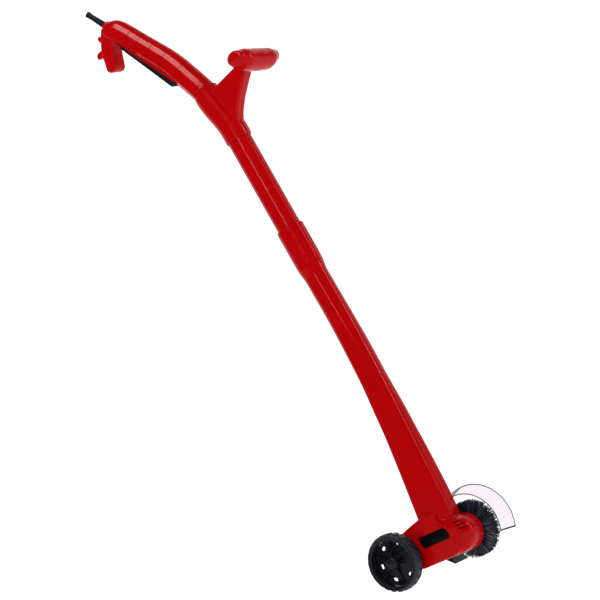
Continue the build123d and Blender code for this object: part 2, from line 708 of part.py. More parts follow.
# ---------------------------------------------------------------- upper tube
TUBE_FOOT, TUBE_TOP = (52.2, 585.4), 840.0
TUBE_LEN = (TUBE_TOP - TUBE_FOOT[1]) / cos(radians(LEAN))
with BuildPart() as upper_tube:
    with BuildSketch(station(*TUBE_FOOT, LEAN)):
        Circle(TUBE_R)
        Circle(TUBE_R - TUBE_T, mode=Mode.SUBTRACT)
    extrude(amount=TUBE_LEN)
    with BuildSketch(SIDE.offset(-15)):
        with Locations(TUBE_SCREW):
            Circle(1.95)
    extrude(amount=-10, mode=Mode.SUBTRACT)
upper_tube.part.label = "upper_tube"
export_step(upper_tube.part, "parts/upper_tube.step")

with BuildPart() as tube_screw:
    with BuildSketch(SIDE.offset(-16)):
        with Locations(TUBE_SCREW):
            Circle(1.9)
    extrude(amount=-8.4)
    with BuildSketch(SIDE.offset(-24.4)):
        with Locations(TUBE_SCREW):
            Circle(3.6)
    extrude(amount=-2.2)
    with BuildSketch(SIDE.offset(-26.6)):
        with Locations(TUBE_SCREW):
            RegularPolygon(radius=1.5, side_count=6)
    extrude(amount=1.3, mode=Mode.SUBTRACT)
tube_screw.part.label = "tube_screw"
export_step(tube_screw.part, "parts/tube_screw.step")

# ---------------------------------------------------------------- rear handle
# x, z, lean, depth across the line, width in y, corner radius
NECK = [
    (20.8, 843, -7.6, 41.4, 41.4, 19.5),
    (11.0, 874, -15.5, 41.6, 41.6, 19.5),
    (1.8, 902, -20.5, 41.6, 41.6, 19.5),
    (-6.4, 929.7, -28.0, 41.6, 41.6, 19.5),
]
BEAM = [
    (-7.2, 931.2, -28.0, 43.2, 43.0, 20.0),
    (-20.8, 957, -31.5, 43.0, 42.0, 19.0),
    (-37.0, 987, -36.0, 42.4, 40.5, 17.5),
    (-55.0, 1013.5, -39.0, 41.6, 39.0, 16.5),
    (-73.3, 1037.3, -41.0, 41.0, 38.0, 16.0),
    (-95.5, 1064.6, -43.0, 40.4, 37.0, 15.0),
    (-118.7, 1092, -45.5, 39.6, 36.0, 14.0),
    (-133.0, 1105.5, -48.0, 36.0, 34.5, 13.0),
    (-143.0, 1114.0, -50.0, 26.0, 31.0, 11.0),
]
HWALL = 2.4
HOOK = [(-146, 1118), (-156, 1102), (-164, 1086), (-168, 1067), (-171, 1046), (-167, 1039.5), (-156, 1037), (-149, 1041), (-142, 1067), (-137, 1078), (-124, 1092)]
HOOK_IN = [(-146, 1108), (-154, 1099), (-161, 1085), (-165, 1066.5), (-167.8, 1047), (-165, 1043), (-157, 1041), (-151.5, 1043.5), (-145, 1066), (-139, 1081), (-130, 1092)]
HANDLE_SCREWS = [(-158, 1054), (-152, 1090), (-87, 1073), (-27, 994.5)]
SWITCH = (-73.3, 1037.3, -41.0)
SLEEVE_FOOT = (-131.0, 1104.0)
SLEEVE_LEAN = -36.3
CLAMP = [(-111.3, 1073.8), (-99.8, 1084.9)]
TRIGGER_HALF = 9.0


def handle_half(side):
    """One half of the rear handle; side is -1 for the near half, +1 for the far half."""
    with BuildPart() as half:
        # drop leg behind the trigger
        with BuildSketch(SIDE):
            Polygon(*HOOK, align=None)
        extrude(amount=-side * 15)
        fillet(half.faces().filter_by(Axis.Y).sort_by(Axis.Y)[0 if side < 0 else -1].edges(), radius=5.0)
        for x, z, lean, d, w, r in BEAM:
            with BuildSketch(station(x, z, lean)):
                RectangleRounded(d, w, r)
                with Locations((0, side * 50)):
                    Rectangle(100, 100, mode=Mode.INTERSECT)
        loft(ruled=True)
        for x, z, lean, d, w, r in NECK:
            with BuildSketch(station(x, z, lean)):
                RectangleRounded(d, w, r)
                with Locations((0, side * 50)):
                    Rectangle(100, 100, mode=Mode.INTERSECT)
        loft(ruled=True)
        with BuildSketch(station(NECK[-1][0], NECK[-1][1], -28.0)):
            RectangleRounded(41.6, 41.6, 19.5)
            with Locations((0, side * 50)):
                Rectangle(100, 100, mode=Mode.INTERSECT)
        extrude(amount=2.5)
        # boss round the cord sleeve
        with BuildSketch(station(-134, 1108, SLEEVE_LEAN)):
            Circle(11.0)
            with Locations((0, side * 50)):
                Rectangle(100, 100, mode=Mode.INTERSECT)
        extrude(amount=16)
        # two cable hooks on the back of the leg
        for tooth in ([(-148, 1113), (-160, 1108.5), (-167, 1110.5), (-168.5, 1104), (-165, 1096.5), (-156, 1092)],
                      [(-160, 1088.5), (-168, 1087), (-178, 1085.5), (-183.5, 1084), (-185.5, 1079), (-185.5, 1074.5), (-172, 1072), (-164, 1068)]):
            with BuildSketch(SIDE):
                Polygon(*tooth, align=None)
            extrude(amount=-side * 6)
        # hollow
        with BuildSketch(SIDE):
            Polygon(*HOOK_IN, align=None)
        extrude(amount=-side * 12.4, mode=Mode.SUBTRACT)
        for x, z, lean, d, w, r in BEAM[:-1]:
            with BuildSketch(station(x, z, lean)):
                RectangleRounded(d - 2 * HWALL, w - 2 * HWALL, r - HWALL)
                with Locations((0, side * 50)):
                    Rectangle(100, 100, mode=Mode.INTERSECT)
        loft(ruled=True, mode=Mode.SUBTRACT)
        for x, z, lean, d, w, r in [(21.2, 839.5, -7.0, 41.6, 41.6, 19.5)] + NECK[1:] + [(-9.5, 935.5, -28.0, 41.6, 41.6, 19.5)]:
            with BuildSketch(station(x, z, lean)):
                RectangleRounded(36.6, 36.6, 17.0)
                with Locations((0, side * 50)):
                    Rectangle(100, 100, mode=Mode.INTERSECT)
        loft(ruled=True, mode=Mode.SUBTRACT)
        # bore and pocket of the cord sleeve
        with BuildSketch(station(*SLEEVE_FOOT, SLEEVE_LEAN)):
            Circle(6.1)
        extrude(amount=40, mode=Mode.SUBTRACT)
        with BuildSketch(station(*SLEEVE_FOOT, SLEEVE_LEAN)):
            Circle(9.0)
        extrude(amount=5.2, mode=Mode.SUBTRACT)
        # trigger slot
        with BuildSketch(SIDE):
            Polygon((-129.5, 1074), (-131, 1058), (-60, 948), (-41.2, 953.9), (-24.1, 964.4), (-42, 988), (-78, 1038), (-100, 1068), (-117, 1087), (-127.5, 1085), align=None)
        extrude(amount=-side * (TRIGGER_HALF + 0.6), mode=Mode.SUBTRACT)
        # screw posts
        with BuildSketch(SIDE):
            with Locations(*HANDLE_SCREWS):
                Circle(3.4)
        extrude(amount=-side * 14.2)
        # carriers of the trigger pin
        with BuildSketch(SIDE.offset(-side * (TRIGGER_HALF + 0.6))):
            with Locations(PIVOT):
                Circle(4.6)
        extrude(amount=-side * 6.5)
        with BuildSketch(SIDE.offset(-side * 8)):
            with Locations(PIVOT):
                Circle(2.02)
        extrude(amount=-side * 7.0, mode=Mode.SUBTRACT)
        # ribs that hold the switch
        for shift in (-12.0, 10.0):
            with BuildSketch(station(*SWITCH).offset(shift)):
                with Locations((2.0, side * 12.8)):
                    Rectangle(20, 9.4)
            extrude(amount=2.0)
    return half.part


near_handle, far_handle = handle_half(-1), handle_half(1)

with BuildPart() as rear_handle_right:
    add(near_handle)
    with BuildSketch(SIDE.offset(-1)):
        with Locations(*HANDLE_SCREWS):
            Circle(SCREW_R + 0.02)
    extrude(amount=1 + 12, mode=Mode.SUBTRACT)
    # posts under the cord clamp
    with BuildSketch(SIDE.offset(1.0)):
        with Locations(*CLAMP):
            Circle(3.2)
            Circle(1.5, mode=Mode.SUBTRACT)
    extrude(amount=15.2)
rear_handle_right.part.label = "rear_handle_right"
export_step(rear_handle_right.part, "parts/rear_handle_right.step")

with BuildPart() as rear_handle_left:
    add(far_handle)
    with BuildSketch(SIDE.offset(1)):
        with Locations(*HANDLE_SCREWS):
            Circle(SCREW_R + 0.02)
    extrude(amount=-30, mode=Mode.SUBTRACT)
    with BuildSketch(SIDE.offset(-12.0)):
        with Locations(*HANDLE_SCREWS):
            Circle(3.2)
    extrude(amount=-12, mode=Mode.SUBTRACT)
rear_handle_left.part.label = "rear_handle_left"
export_step(rear_handle_left.part, "parts/rear_handle_left.step")

with BuildPart() as handle_screws:
    with BuildSketch(SIDE.offset(10)):
        with Locations(*HANDLE_SCREWS):
            Circle(SCREW_R)
    extrude(amount=-22.5)
    with BuildSketch(SIDE.offset(-12.0)):
        with Locations(*HANDLE_SCREWS):
            Circle(3.0)
    extrude(amount=-2.2)
    with BuildSketch(SIDE.offset(-14.2)):
        with Locations(*HANDLE_SCREWS):
            RegularPolygon(radius=1.3, side_count=6)
    extrude(amount=1.2, mode=Mode.SUBTRACT)
handle_screws.part.label = "handle_screws"
export_step(handle_screws.part, "parts/handle_screws.step")

with BuildPart() as trigger:
    with BuildSketch(SIDE.offset(-TRIGGER_HALF)):
        with BuildLine():
            Polyline((-127.0, 1076.0), (-126.5, 1066.5), (-124.0, 1063.0), (-58.0, 959.5), (-54.5, 957.2), (-43.0, 956.2), (-41.6, 958.0),
                     (-43.0, 967.0), (-46.5, 974.0), (-80.8, 1022.7), (-88.6, 1031.7), (-106.0, 1055.5), (-116.5, 1071.5), (-116.8, 1077.0), close=True)
        make_face()
        with Locations(PIVOT):
            Circle(5.8)
    extrude(amount=2 * TRIGGER_HALF)
    # hollow back, so that the lever is a channel, apart from the pad under the plunger and the pivot
    with BuildSketch(SIDE.offset(-TRIGGER_HALF + 2.2)):
        Polygon((-110.5, 1058.5), (-117.0, 1056.2), (-94.0, 1020.2), (-88.2, 1028.0), (-92.0, 1033.0), align=None)
        Polygon((-85.2, 1018.6), (-84.0, 1004.5), (-58.0, 963.8), (-46.5, 962.0), (-47.0, 970.0), (-75.0, 1010.5), align=None)
    extrude(amount=2 * TRIGGER_HALF - 4.4, mode=Mode.SUBTRACT)
    with BuildSketch(SIDE.offset(-TRIGGER_HALF - 1)):
        with Locations(PIVOT):
            Circle(2.07)
    extrude(amount=2 * TRIGGER_HALF + 2, mode=Mode.SUBTRACT)
    # pocket of the return spring
    with BuildSketch(SIDE.offset(-1.9)):
        with Locations(PIVOT):
            Circle(7.4)
    extrude(amount=-4.8, mode=Mode.SUBTRACT)
trigger.part.label = "trigger"
export_step(trigger.part, "parts/trigger.step")

with BuildPart() as trigger_pin:
    with BuildSketch(SIDE.offset(-14.8)):
        with Locations(PIVOT):
            Circle(2.0)
    extrude(amount=29.6)
trigger_pin.part.label = "trigger_pin"
export_step(trigger_pin.part, "parts/trigger_pin.step")

with BuildPart() as switch_body:
    with BuildSketch(station(*SWITCH).offset(-16)):
        with Locations((2.5, 0)):
            RectangleRounded(19, 16, 1.2)
    extrude(amount=32)
    with BuildSketch(Plane(origin=station(*SWITCH).origin, z_dir=station(*SWITCH).x_dir).offset(-8)):
        Circle(2.56)
    extrude(amount=12, mode=Mode.SUBTRACT)
switch_body.part.label = "switch_body"
export_step(switch_body.part, "parts/switch_body.step")

with BuildPart() as switch_plunger:
    with BuildSketch(Plane(origin=station(*SWITCH).origin, z_dir=station(*SWITCH).x_dir).offset(-14.7)):
        Circle(2.5)
    extrude(amount=11.5)
    fillet(switch_plunger.edges().filter_by(GeomType.CIRCLE), radius=0.5)
switch_plunger.part.label = "switch_plunger"
export_step(switch_plunger.part, "parts/switch_plunger.step")

# return spring: a close-wound coil round the pin, in the trigger's pocket, with two straight legs
with BuildPart() as trigger_spring:
    with BuildSketch(SIDE.offset(-2.4)):
        with Locations(PIVOT):
            Circle(3.65)
            Circle(2.75, mode=Mode.SUBTRACT)
    extrude(amount=-3.8)
    with BuildSketch(SIDE.offset(-2.9)):
        with Locations((PIVOT[0] + 3.6, PIVOT[1] + 3.2)):
            Rectangle(7.6, 0.9, rotation=48)
        with Locations((PIVOT[0] + 1.9, PIVOT[1] + 4.2)):
            Rectangle(6.4, 0.9, rotation=80)
    extrude(amount=-0.9)
    with BuildSketch(SIDE.offset(-2.0)):
        with Locations(PIVOT):
            Circle(2.75)
    extrude(amount=-5.0, mode=Mode.SUBTRACT)
trigger_spring.part.label = "trigger_spring"
export_step(trigger_spring.part, "parts/trigger_spring.step")

with BuildPart() as cord_sleeve:
    foot = station(*SLEEVE_FOOT, SLEEVE_LEAN)
    for s0, s1, r0, r1 in ((0.2, 5.0, 8.7, 8.7), (5.0, 22.0, 6.0, 6.0), (22.0, 56.0, 6.0, 4.9), (56.0, 66.0, 4.9, 5.9)):
        with BuildSketch(foot.offset(s0)):
            Circle(r0)
        with BuildSketch(foot.offset(s1)):
            Circle(r1)
        loft()
    with BuildSketch(foot.offset(-1)):
        Circle(3.6)
    extrude(amount=70, mode=Mode.SUBTRACT)
cord_sleeve.part.label = "cord_sleeve"
export_step(cord_sleeve.part, "parts/cord_sleeve.step")

with BuildPart() as cord_clamp:
    with BuildSketch(SIDE.offset(-2.2)):
        with Locations(((CLAMP[0][0] + CLAMP[1][0]) / 2, (CLAMP[0][1] + CLAMP[1][1]) / 2)):
            SlotCenterToCenter(hypot(CLAMP[1][0] - CLAMP[0][0], CLAMP[1][1] - CLAMP[0][1]), 6.6, rotation=44)
        with Locations(*CLAMP):
            Circle(1.55, mode=Mode.SUBTRACT)
    extrude(amount=3.2)
cord_clamp.part.label = "cord_clamp"
export_step(cord_clamp.part, "parts/cord_clamp.step")

with BuildPart() as cord_clamp_screws:
    with BuildSketch(SIDE.offset(9)):
        with Locations(*CLAMP):
            Circle(1.48)
    extrude(amount=-11.2)
    with BuildSketch(SIDE.offset(-2.2)):
        with Locations(*CLAMP):
            Circle(2.6)
    extrude(amount=-1.8)
cord_clamp_screws.part.label = "cord_clamp_screws"
export_step(cord_clamp_screws.part, "parts/cord_clamp_screws.step")

# ---------------------------------------------------------------- front handle: sleeve, arm and T grip
SLEEVE_LINE = [(23.96, 817, -6.94), (21.04, 841, -6.94), (11.0, 874, -15.5), (1.8, 902, -20.5), (-6.4, 929.7, -28.0)]
ARM = [(2, 914), (32, 918), (84, 928.5), (108, 936), (113, 922), (100, 911), (84, 896), (64, 876), (49, 856), (38, 834), (24, 834)]
ARM_IN = [(20, 912), (33, 914.5), (84, 924.5), (100, 930), (104, 922), (97.5, 913), (82, 899), (62, 879), (46.5, 858), (38, 843), (28, 850)]
FRONT_SCREWS = [(46, 906), (84, 912)]
GRIP = [(0, 20.6, 16.2), (18, 21.0, 16.5), (34, 21.5, 16.8), (46, 20.4, 15.8), (53, 17.0, 12.8), (56.5, 11.5, 8.0)]


def front_half(side):
    """One half of the front handle; side is -1 for the near half, +1 for the far half."""
    with BuildPart() as half:
        with BuildSketch(SIDE):
            Polygon(*ARM, align=None)
        extrude(amount=-side * 12)
        fillet(half.faces().filter_by(Axis.Y).sort_by(Axis.Y)[0 if side < 0 else -1].edges(), radius=4.5)
        for x, z, lean in SLEEVE_LINE:
            with BuildSketch(station(x, z, lean)):
                RectangleRounded(2 * SLEEVE_R, 2 * SLEEVE_R, SLEEVE_R - 1.5)
                with Locations((0, side * 50)):
                    Rectangle(100, 100, mode=Mode.INTERSECT)
        loft(ruled=True)
        for y, a, b in GRIP:
            with BuildSketch(SIDE.offset(-side * y)):
                with Locations((GRIP_X, GRIP_Z)):
                    Ellipse(a, b)
        loft(ruled=True)
        # hollow
        with BuildSketch(SIDE):
            Polygon(*ARM_IN, align=None)
        extrude(amount=-side * 9.6, mode=Mode.SUBTRACT)
        for y, a, b in GRIP[:-1]:
            with BuildSketch(SIDE.offset(-side * y)):
                with Locations((GRIP_X, GRIP_Z)):
                    Ellipse(a - 2.8, b - 2.8)
        loft(ruled=True, mode=Mode.SUBTRACT)
        for x, z, lean in SLEEVE_LINE[1:]:
            with BuildSketch(station(x, z, lean)):
                RectangleRounded(42.3, 42.3, 19.9)
                with Locations((0, side * 50)):
                    Rectangle(100, 100, mode=Mode.INTERSECT)
        loft(ruled=True, mode=Mode.SUBTRACT)
        with BuildSketch(station(*SLEEVE_LINE[0]).offset(-2)):
            Circle(TUBE_R + 0.08)
        extrude(amount=26.4, mode=Mode.SUBTRACT)
        with BuildSketch(SIDE):
            with Locations(*FRONT_SCREWS):
                Circle(3.4)
        extrude(amount=-side * 10.5)
    return half.part


near_front, far_front = front_half(-1), front_half(1)

with BuildPart() as front_handle_right:
    add(near_front)
    with BuildSketch(SIDE.offset(-1)):
        with Locations(*FRONT_SCREWS):
            Circle(SCREW_R + 0.02)
    extrude(amount=1 + 9, mode=Mode.SUBTRACT)
front_handle_right.part.label = "front_handle_right"
export_step(front_handle_right.part, "parts/front_handle_right.step")

with BuildPart() as front_handle_left:
    add(far_front)
    with BuildSketch(SIDE.offset(1)):
        with Locations(*FRONT_SCREWS):
            Circle(SCREW_R + 0.02)
    extrude(amount=-20, mode=Mode.SUBTRACT)
    with BuildSketch(SIDE.offset(-9.0)):
        with Locations(*FRONT_SCREWS):
            Circle(3.2)
    extrude(amount=-8, mode=Mode.SUBTRACT)
front_handle_left.part.label = "front_handle_left"
export_step(front_handle_left.part, "parts/front_handle_left.step")

with BuildPart() as front_handle_screws:
    with BuildSketch(SIDE.offset(7.5)):
        with Locations(*FRONT_SCREWS):
            Circle(SCREW_R)
    extrude(amount=-16.6)
    with BuildSketch(SIDE.offset(-9.0)):
        with Locations(*FRONT_SCREWS):
            Circle(3.0)
    extrude(amount=-2.2)
    with BuildSketch(SIDE.offset(-11.2)):
        with Locations(*FRONT_SCREWS):
            RegularPolygon(radius=1.3, side_count=6)
    extrude(amount=1.2, mode=Mode.SUBTRACT)
front_handle_screws.part.label = "front_handle_screws"
export_step(front_handle_screws.part, "parts/front_handle_screws.step")

# ---------------------------------------------------------------- two-core lead from the switch to the motor
LEAD = [(-59.6, 1026.1), (-34.0, 989.0), (-5.0, 933.0), (12.5, 876.0), (22.5, 822.0), (37.0, 705.0), (50.5, 594.0), (62.0, 500.0), (75.0, 400.0), (84.0, 300.0), (88.5, 222.0), (90.0, 168.2)]
lead_points = [(OX + x, OY, z) for x, z in LEAD]
lead_radii = []
for a, b, c in zip(LEAD, LEAD[1:], LEAD[2:]):
    turn = abs(atan2(b[0] - a[0], b[1] - a[1]) - atan2(c[0] - b[0], c[1] - b[1]))
    run = min(hypot(b[0] - a[0], b[1] - a[1]), hypot(c[0] - b[0], c[1] - b[1]))
    lead_radii.append(0.45 * run / tan(turn / 2))
print("lead radii", [round(r) for r in lead_radii])
with BuildPart() as motor_lead:
    with BuildLine():
        FilletPolyline(*lead_points, radius=lead_radii)
    with BuildSketch(along((LEAD[0][0], 0, LEAD[0][1]), (LEAD[1][0], 0, LEAD[1][1]), 3)):
        Circle(2.8)
    sweep()
motor_lead.part.label = "motor_lead"
export_step(motor_lead.part, "parts/motor_lead.step")

with BuildPart() as guard_screws:
    with BuildSketch(SIDE.offset(-18.3)):
        with Locations(*GUARD_SCREWS, *BRACKET_SCREWS):
            Circle(SCREW_R)
    extrude(amount=-4.8)
    with BuildSketch(SIDE.offset(-23.0)):
        with Locations(*GUARD_SCREWS, *BRACKET_SCREWS):
            Circle(3.2)
    extrude(amount=-1.5)
guard_screws.part.label = "guard_screws"
export_step(guard_screws.part, "parts/guard_screws.step")

everything = [lower_housing_right, lower_housing_left, housing_screws, label_plate, motor_can, motor_end_cap, carbon_brushes, armature, motor_fan,
              motor_bearing_lower, motor_bearing_upper, worm_bearing, worm, worm_wheel, brush_spindle, spindle_bearing_near, spindle_bearing_far,
              spindle_seal, brush_flange, brush_hub, bristle_ring, brush_washer, brush_nut, splash_guard, guard_bracket, wheel_axle, wheel_washer,
              wheel_rim, tyre, wheel_clip, hub_cap, upper_tube, tube_screw, rear_handle_right, rear_handle_left, handle_screws, trigger, trigger_pin,
              switch_body, switch_plunger, trigger_spring, cord_sleeve, cord_clamp, cord_clamp_screws, front_handle_right, front_handle_left,
              front_handle_screws, motor_lead, guard_screws]
low = [min(getattr(p.part.bounding_box().min, k) for p in everything) for k in "XYZ"]
high = [max(getattr(p.part.bounding_box().max, k) for p in everything) for k in "XYZ"]
print(len(everything), "nodes; box", [round(v, 2) for v in low], [round(v, 2) for v in high])
print("middle", round((low[0] + high[0]) / 2, 3), round((low[1] + high[1]) / 2, 3))
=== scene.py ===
# Electric joint and edge brush: the looks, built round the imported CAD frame. Lengths in the tables are millimetres.
import json
import math
import random

import bmesh
import bpy
import numpy as np
from mathutils import Matrix, Vector


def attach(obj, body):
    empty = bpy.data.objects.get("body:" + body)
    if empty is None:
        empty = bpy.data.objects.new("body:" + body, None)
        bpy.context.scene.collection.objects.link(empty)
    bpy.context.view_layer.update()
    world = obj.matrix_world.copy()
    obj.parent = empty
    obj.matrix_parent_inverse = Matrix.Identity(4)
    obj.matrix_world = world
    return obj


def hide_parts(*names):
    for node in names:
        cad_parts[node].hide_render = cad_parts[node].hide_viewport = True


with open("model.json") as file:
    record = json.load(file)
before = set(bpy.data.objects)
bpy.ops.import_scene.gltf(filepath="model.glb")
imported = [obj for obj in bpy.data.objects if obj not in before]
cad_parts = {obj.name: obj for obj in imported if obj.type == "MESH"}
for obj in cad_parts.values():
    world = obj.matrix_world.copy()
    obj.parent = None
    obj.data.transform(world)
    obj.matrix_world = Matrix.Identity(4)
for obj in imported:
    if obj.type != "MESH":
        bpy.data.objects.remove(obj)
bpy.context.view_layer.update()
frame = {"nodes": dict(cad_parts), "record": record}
scene = bpy.context.scene
OX, OY = -1.65, 1.65                      # layout to row frame, as in the CAD source
nodes = frame["nodes"]
rng = np.random.default_rng(7)
random.seed(7)


# ------------------------------------------------------------------ helpers
def new_object(name, verts, faces):
    """verts are layout millimetres."""
    v = np.asarray(verts, float).copy()
    v[:, 0] += OX
    v[:, 1] += OY
    mesh = bpy.data.meshes.new(name)
    mesh.from_pydata((v * 1e-3).tolist(), [], faces)
    mesh.validate()
    ob = bpy.data.objects.new(name, mesh)
    scene.collection.objects.link(ob)
    return ob


def bake(ob):
    """Applies every modifier."""
    dg = bpy.context.evaluated_depsgraph_get()
    mesh = bpy.data.meshes.new_from_object(ob.evaluated_get(dg))
    ob.modifiers.clear()
    old = ob.data
    ob.data = mesh
    bpy.data.meshes.remove(old)
    return ob


def outward(ob):
    bm = bmesh.new()
    bm.from_mesh(ob.data)
    bmesh.ops.recalc_face_normals(bm, faces=bm.faces)
    bm.to_mesh(ob.data)
    bm.free()
    return ob


def smooth(ob, degrees=None):
    for p in ob.data.polygons:
        p.use_smooth = True
    if degrees is not None:
        try:
            ob.data.set_sharp_from_angle(angle=math.radians(degrees))
        except Exception as e:
            print("sharp:", e)
    return ob


def station_axes(lean):
    a = math.radians(lean)
    return np.array([math.cos(a), 0, -math.sin(a)]), np.array([0, 1.0, 0]), np.array([math.sin(a), 0, math.cos(a)])


def spline(keys, values, at):
    """Natural cubic spline of the rows of values over keys."""
    keys, values, at = np.asarray(keys, float), np.asarray(values, float), np.asarray(at, float)
    n = len(keys)
    h = np.diff(keys)
    a = np.zeros((n, n))
    b = np.zeros((n,) + values.shape[1:])
    a[0, 0] = a[-1, -1] = 1
    for i in range(1, n - 1):
        a[i, i - 1], a[i, i], a[i, i + 1] = h[i - 1], 2 * (h[i - 1] + h[i]), h[i]
        b[i] = 6 * ((values[i + 1] - values[i]) / h[i] - (values[i] - values[i - 1]) / h[i - 1])
    m = np.linalg.solve(a, b)
    k = np.clip(np.searchsorted(keys, at) - 1, 0, n - 2)
    t = (at - keys[k])[:, None]
    hk = h[k][:, None]
    return (values[k] + t * ((values[k + 1] - values[k]) / hk - hk * (2 * m[k] + m[k + 1]) / 6)
            + t ** 2 * m[k] / 2 + t ** 3 * (m[k + 1] - m[k]) / (6 * hk))


def support(planes, p, n=112):
    """Radius at n angles of a soft polygon: planes are (angle in degrees, distance, weight), p is how crisp its corners are."""
    th = np.linspace(0, 2 * np.pi, n, endpoint=False)
    s = np.zeros(n)
    for deg, d, w in planes:
        s += w * (np.maximum(0, np.cos(th - math.radians(deg))) / d) ** p
    return th, s ** (-1 / p)


def skin(name, rings, caps=True):
    """A closed tube through rings, an array (rings, points, 3) in layout millimetres."""
    m, n = rings.shape[:2]
    verts = rings.reshape(-1, 3)
    faces = []
    for i in range(m - 1):
        for j in range(n):
            k = (j + 1) % n
            faces.append((i * n + j, i * n + k, (i + 1) * n + k, (i + 1) * n + j))
    if caps:
        faces.append(tuple(range(n))[::-1])
        faces.append(tuple((m - 1) * n + j for j in range(n)))
    return outward(new_object(name, verts, faces))


def sweep(name, path, steps, shape):
    """A solid along stations (x, z, lean, ...): shape(values) gives (angles, radii) in the station's plane."""
    path = np.asarray(path, float)
    run = np.r_[0, np.cumsum(np.hypot(np.diff(path[:, 0]), np.diff(path[:, 1])))]
    at = np.linspace(0, run[-1], steps)
    values = spline(run, path, at)
    rings = []
    for row, s in zip(values, at):
        u, v, _ = station_axes(row[2])
        th, r = shape(row, s / run[-1])
        rings.append(np.array([row[0], 0, row[1]]) + np.outer(r * np.cos(th), u) + np.outer(r * np.sin(th), v))
    return skin(name, np.array(rings))


def lathe(name, origin, axis, side, profile, segments=96, radius_at=None):
    """A solid of revolution: profile is (distance along axis, radius)."""
    axis, side = np.array(axis, float), np.array(side, float)
    other = np.cross(axis, side)
    th = np.linspace(0, 2 * np.pi, segments, endpoint=False)
    rings = []
    for s, r in profile:
        rr = np.full(segments, max(r, 1e-3)) if radius_at is None else radius_at(s, r, th)
        rings.append(np.array(origin, float) + axis * s + np.outer(rr * np.cos(th), side) + np.outer(rr * np.sin(th), other))
    return skin(name, np.array(rings))


def prism(name, outline, y0, y1, bevel=0.0, segments=4, angle=35):
    """An outline of (x, z) points pushed from y0 to y1, with rounded edges."""
    n = len(outline)
    verts = [(x, y0, z) for x, z in outline] + [(x, y1, z) for x, z in outline]
    faces = [tuple(range(n)), tuple(range(2 * n - 1, n - 1, -1))]
    faces += [(i, (i + 1) % n, (i + 1) % n + n, i + n) for i in range(n)]
    ob = outward(new_object(name, verts, faces))
    if bevel:
        b = ob.modifiers.new("edge", "BEVEL")
        b.width, b.segments, b.limit_method, b.angle_limit = bevel * 1e-3, segments, "ANGLE", math.radians(angle)
        b.use_clamp_overlap = True
        bake(ob)
    return ob


def arc(cx, cz, r, a0, a1, n=16):
    return [(cx + r * math.cos(math.radians(a)), cz + r * math.sin(math.radians(a))) for a in np.linspace(a0, a1, n)]


def fuse(name, parts, voxel, rounds, factor=0.5):
    """One skin over several overlapping solids, with its inner corners softly filled."""
    bm = bmesh.new()
    for p in parts:
        bm.from_mesh(p.data)
        bpy.data.objects.remove(p)
    mesh = bpy.data.meshes.new(name)
    bm.to_mesh(mesh)
    bm.free()
    ob = bpy.data.objects.new(name, mesh)
    scene.collection.objects.link(ob)
    r = ob.modifiers.new("remesh", "REMESH")
    r.mode, r.voxel_size, r.use_smooth_shade = "VOXEL", voxel * 1e-3, True
    if rounds:
        s = ob.modifiers.new("smooth", "SMOOTH")
        s.factor, s.iterations = factor, rounds
    return bake(ob)


def cut(ob, cutters, solver="EXACT"):
    for c in cutters:
        b = ob.modifiers.new("cut", "BOOLEAN")
        b.operation, b.solver, b.object = "DIFFERENCE", solver, c
    bake(ob)
    for c in cutters:
        bpy.data.objects.remove(c)
    return ob


def halves(ob, near_name, far_name, wall=2.2, groove=0.28):
    """Parts a closed skin at the middle plane into two open shells with a wall and a fine parting groove."""
    made = []
    for side, name in ((-1, near_name), (1, far_name)):
        bm = bmesh.new()
        bm.from_mesh(ob.data)
        geom = bm.verts[:] + bm.edges[:] + bm.faces[:]
        bmesh.ops.bisect_plane(bm, geom=geom, dist=1e-7, plane_co=(0, OY * 1e-3 + side * 2e-5, 0), plane_no=(0, side, 0), clear_inner=True)
        bm.normal_update()
        for v in bm.verts:
            if v.is_boundary:
                nrm = Vector((v.normal.x, 0, v.normal.z))
                if nrm.length > 1e-6:
                    v.co -= nrm.normalized() * groove * 1e-3
        mesh = bpy.data.meshes.new(name)
        bm.to_mesh(mesh)
        bm.free()
        half = bpy.data.objects.new(name, mesh)
        scene.collection.objects.link(half)
        if wall:
            s = half.modifiers.new("wall", "SOLIDIFY")
            s.thickness, s.offset, s.use_even_offset = wall * 1e-3, -1, False
            bake(half)
        smooth(half, 40)
        made.append(half)
    bpy.data.objects.remove(ob)
    return made


# ------------------------------------------------------------------ materials
def shader(name):
    mat = bpy.data.materials.new(name)
    mat.use_nodes = True
    tree = mat.node_tree
    return mat, tree, tree.nodes["Principled BSDF"]


def node(tree, kind, **values):
    n = tree.nodes.new(kind)
    for k, v in values.items():
        if hasattr(n, k):
            setattr(n, k, v)
        else:
            n.inputs[k].default_value = v
    return n


def noise(tree, scale, detail=3.0, stretch=None, rough=0.5):
    co = node(tree, "ShaderNodeTexCoord")
    n = node(tree, "ShaderNodeTexNoise")
    n.inputs["Scale"].default_value = scale
    n.inputs["Detail"].default_value = detail
    n.inputs["Roughness"].default_value = rough
    if stretch:
        m = node(tree, "ShaderNodeMapping")
        m.inputs["Scale"].default_value = stretch
        tree.links.new(co.outputs["Object"], m.inputs["Vector"])
        tree.links.new(m.outputs["Vector"], n.inputs["Vector"])
    else:
        tree.links.new(co.outputs["Object"], n.inputs["Vector"])
    return n


def ramp(tree, source, stops):
    r = node(tree, "ShaderNodeValToRGB")
    e = r.color_ramp.elements
    e[0].position, e[0].color = stops[0][0], (*stops[0][1], 1)
    e[1].position, e[1].color = stops[-1][0], (*stops[-1][1], 1)
    for pos, col in stops[1:-1]:
        x = e.new(pos)
        x.color = (*col, 1)
    tree.links.new(source, r.inputs["Fac"])
    return r


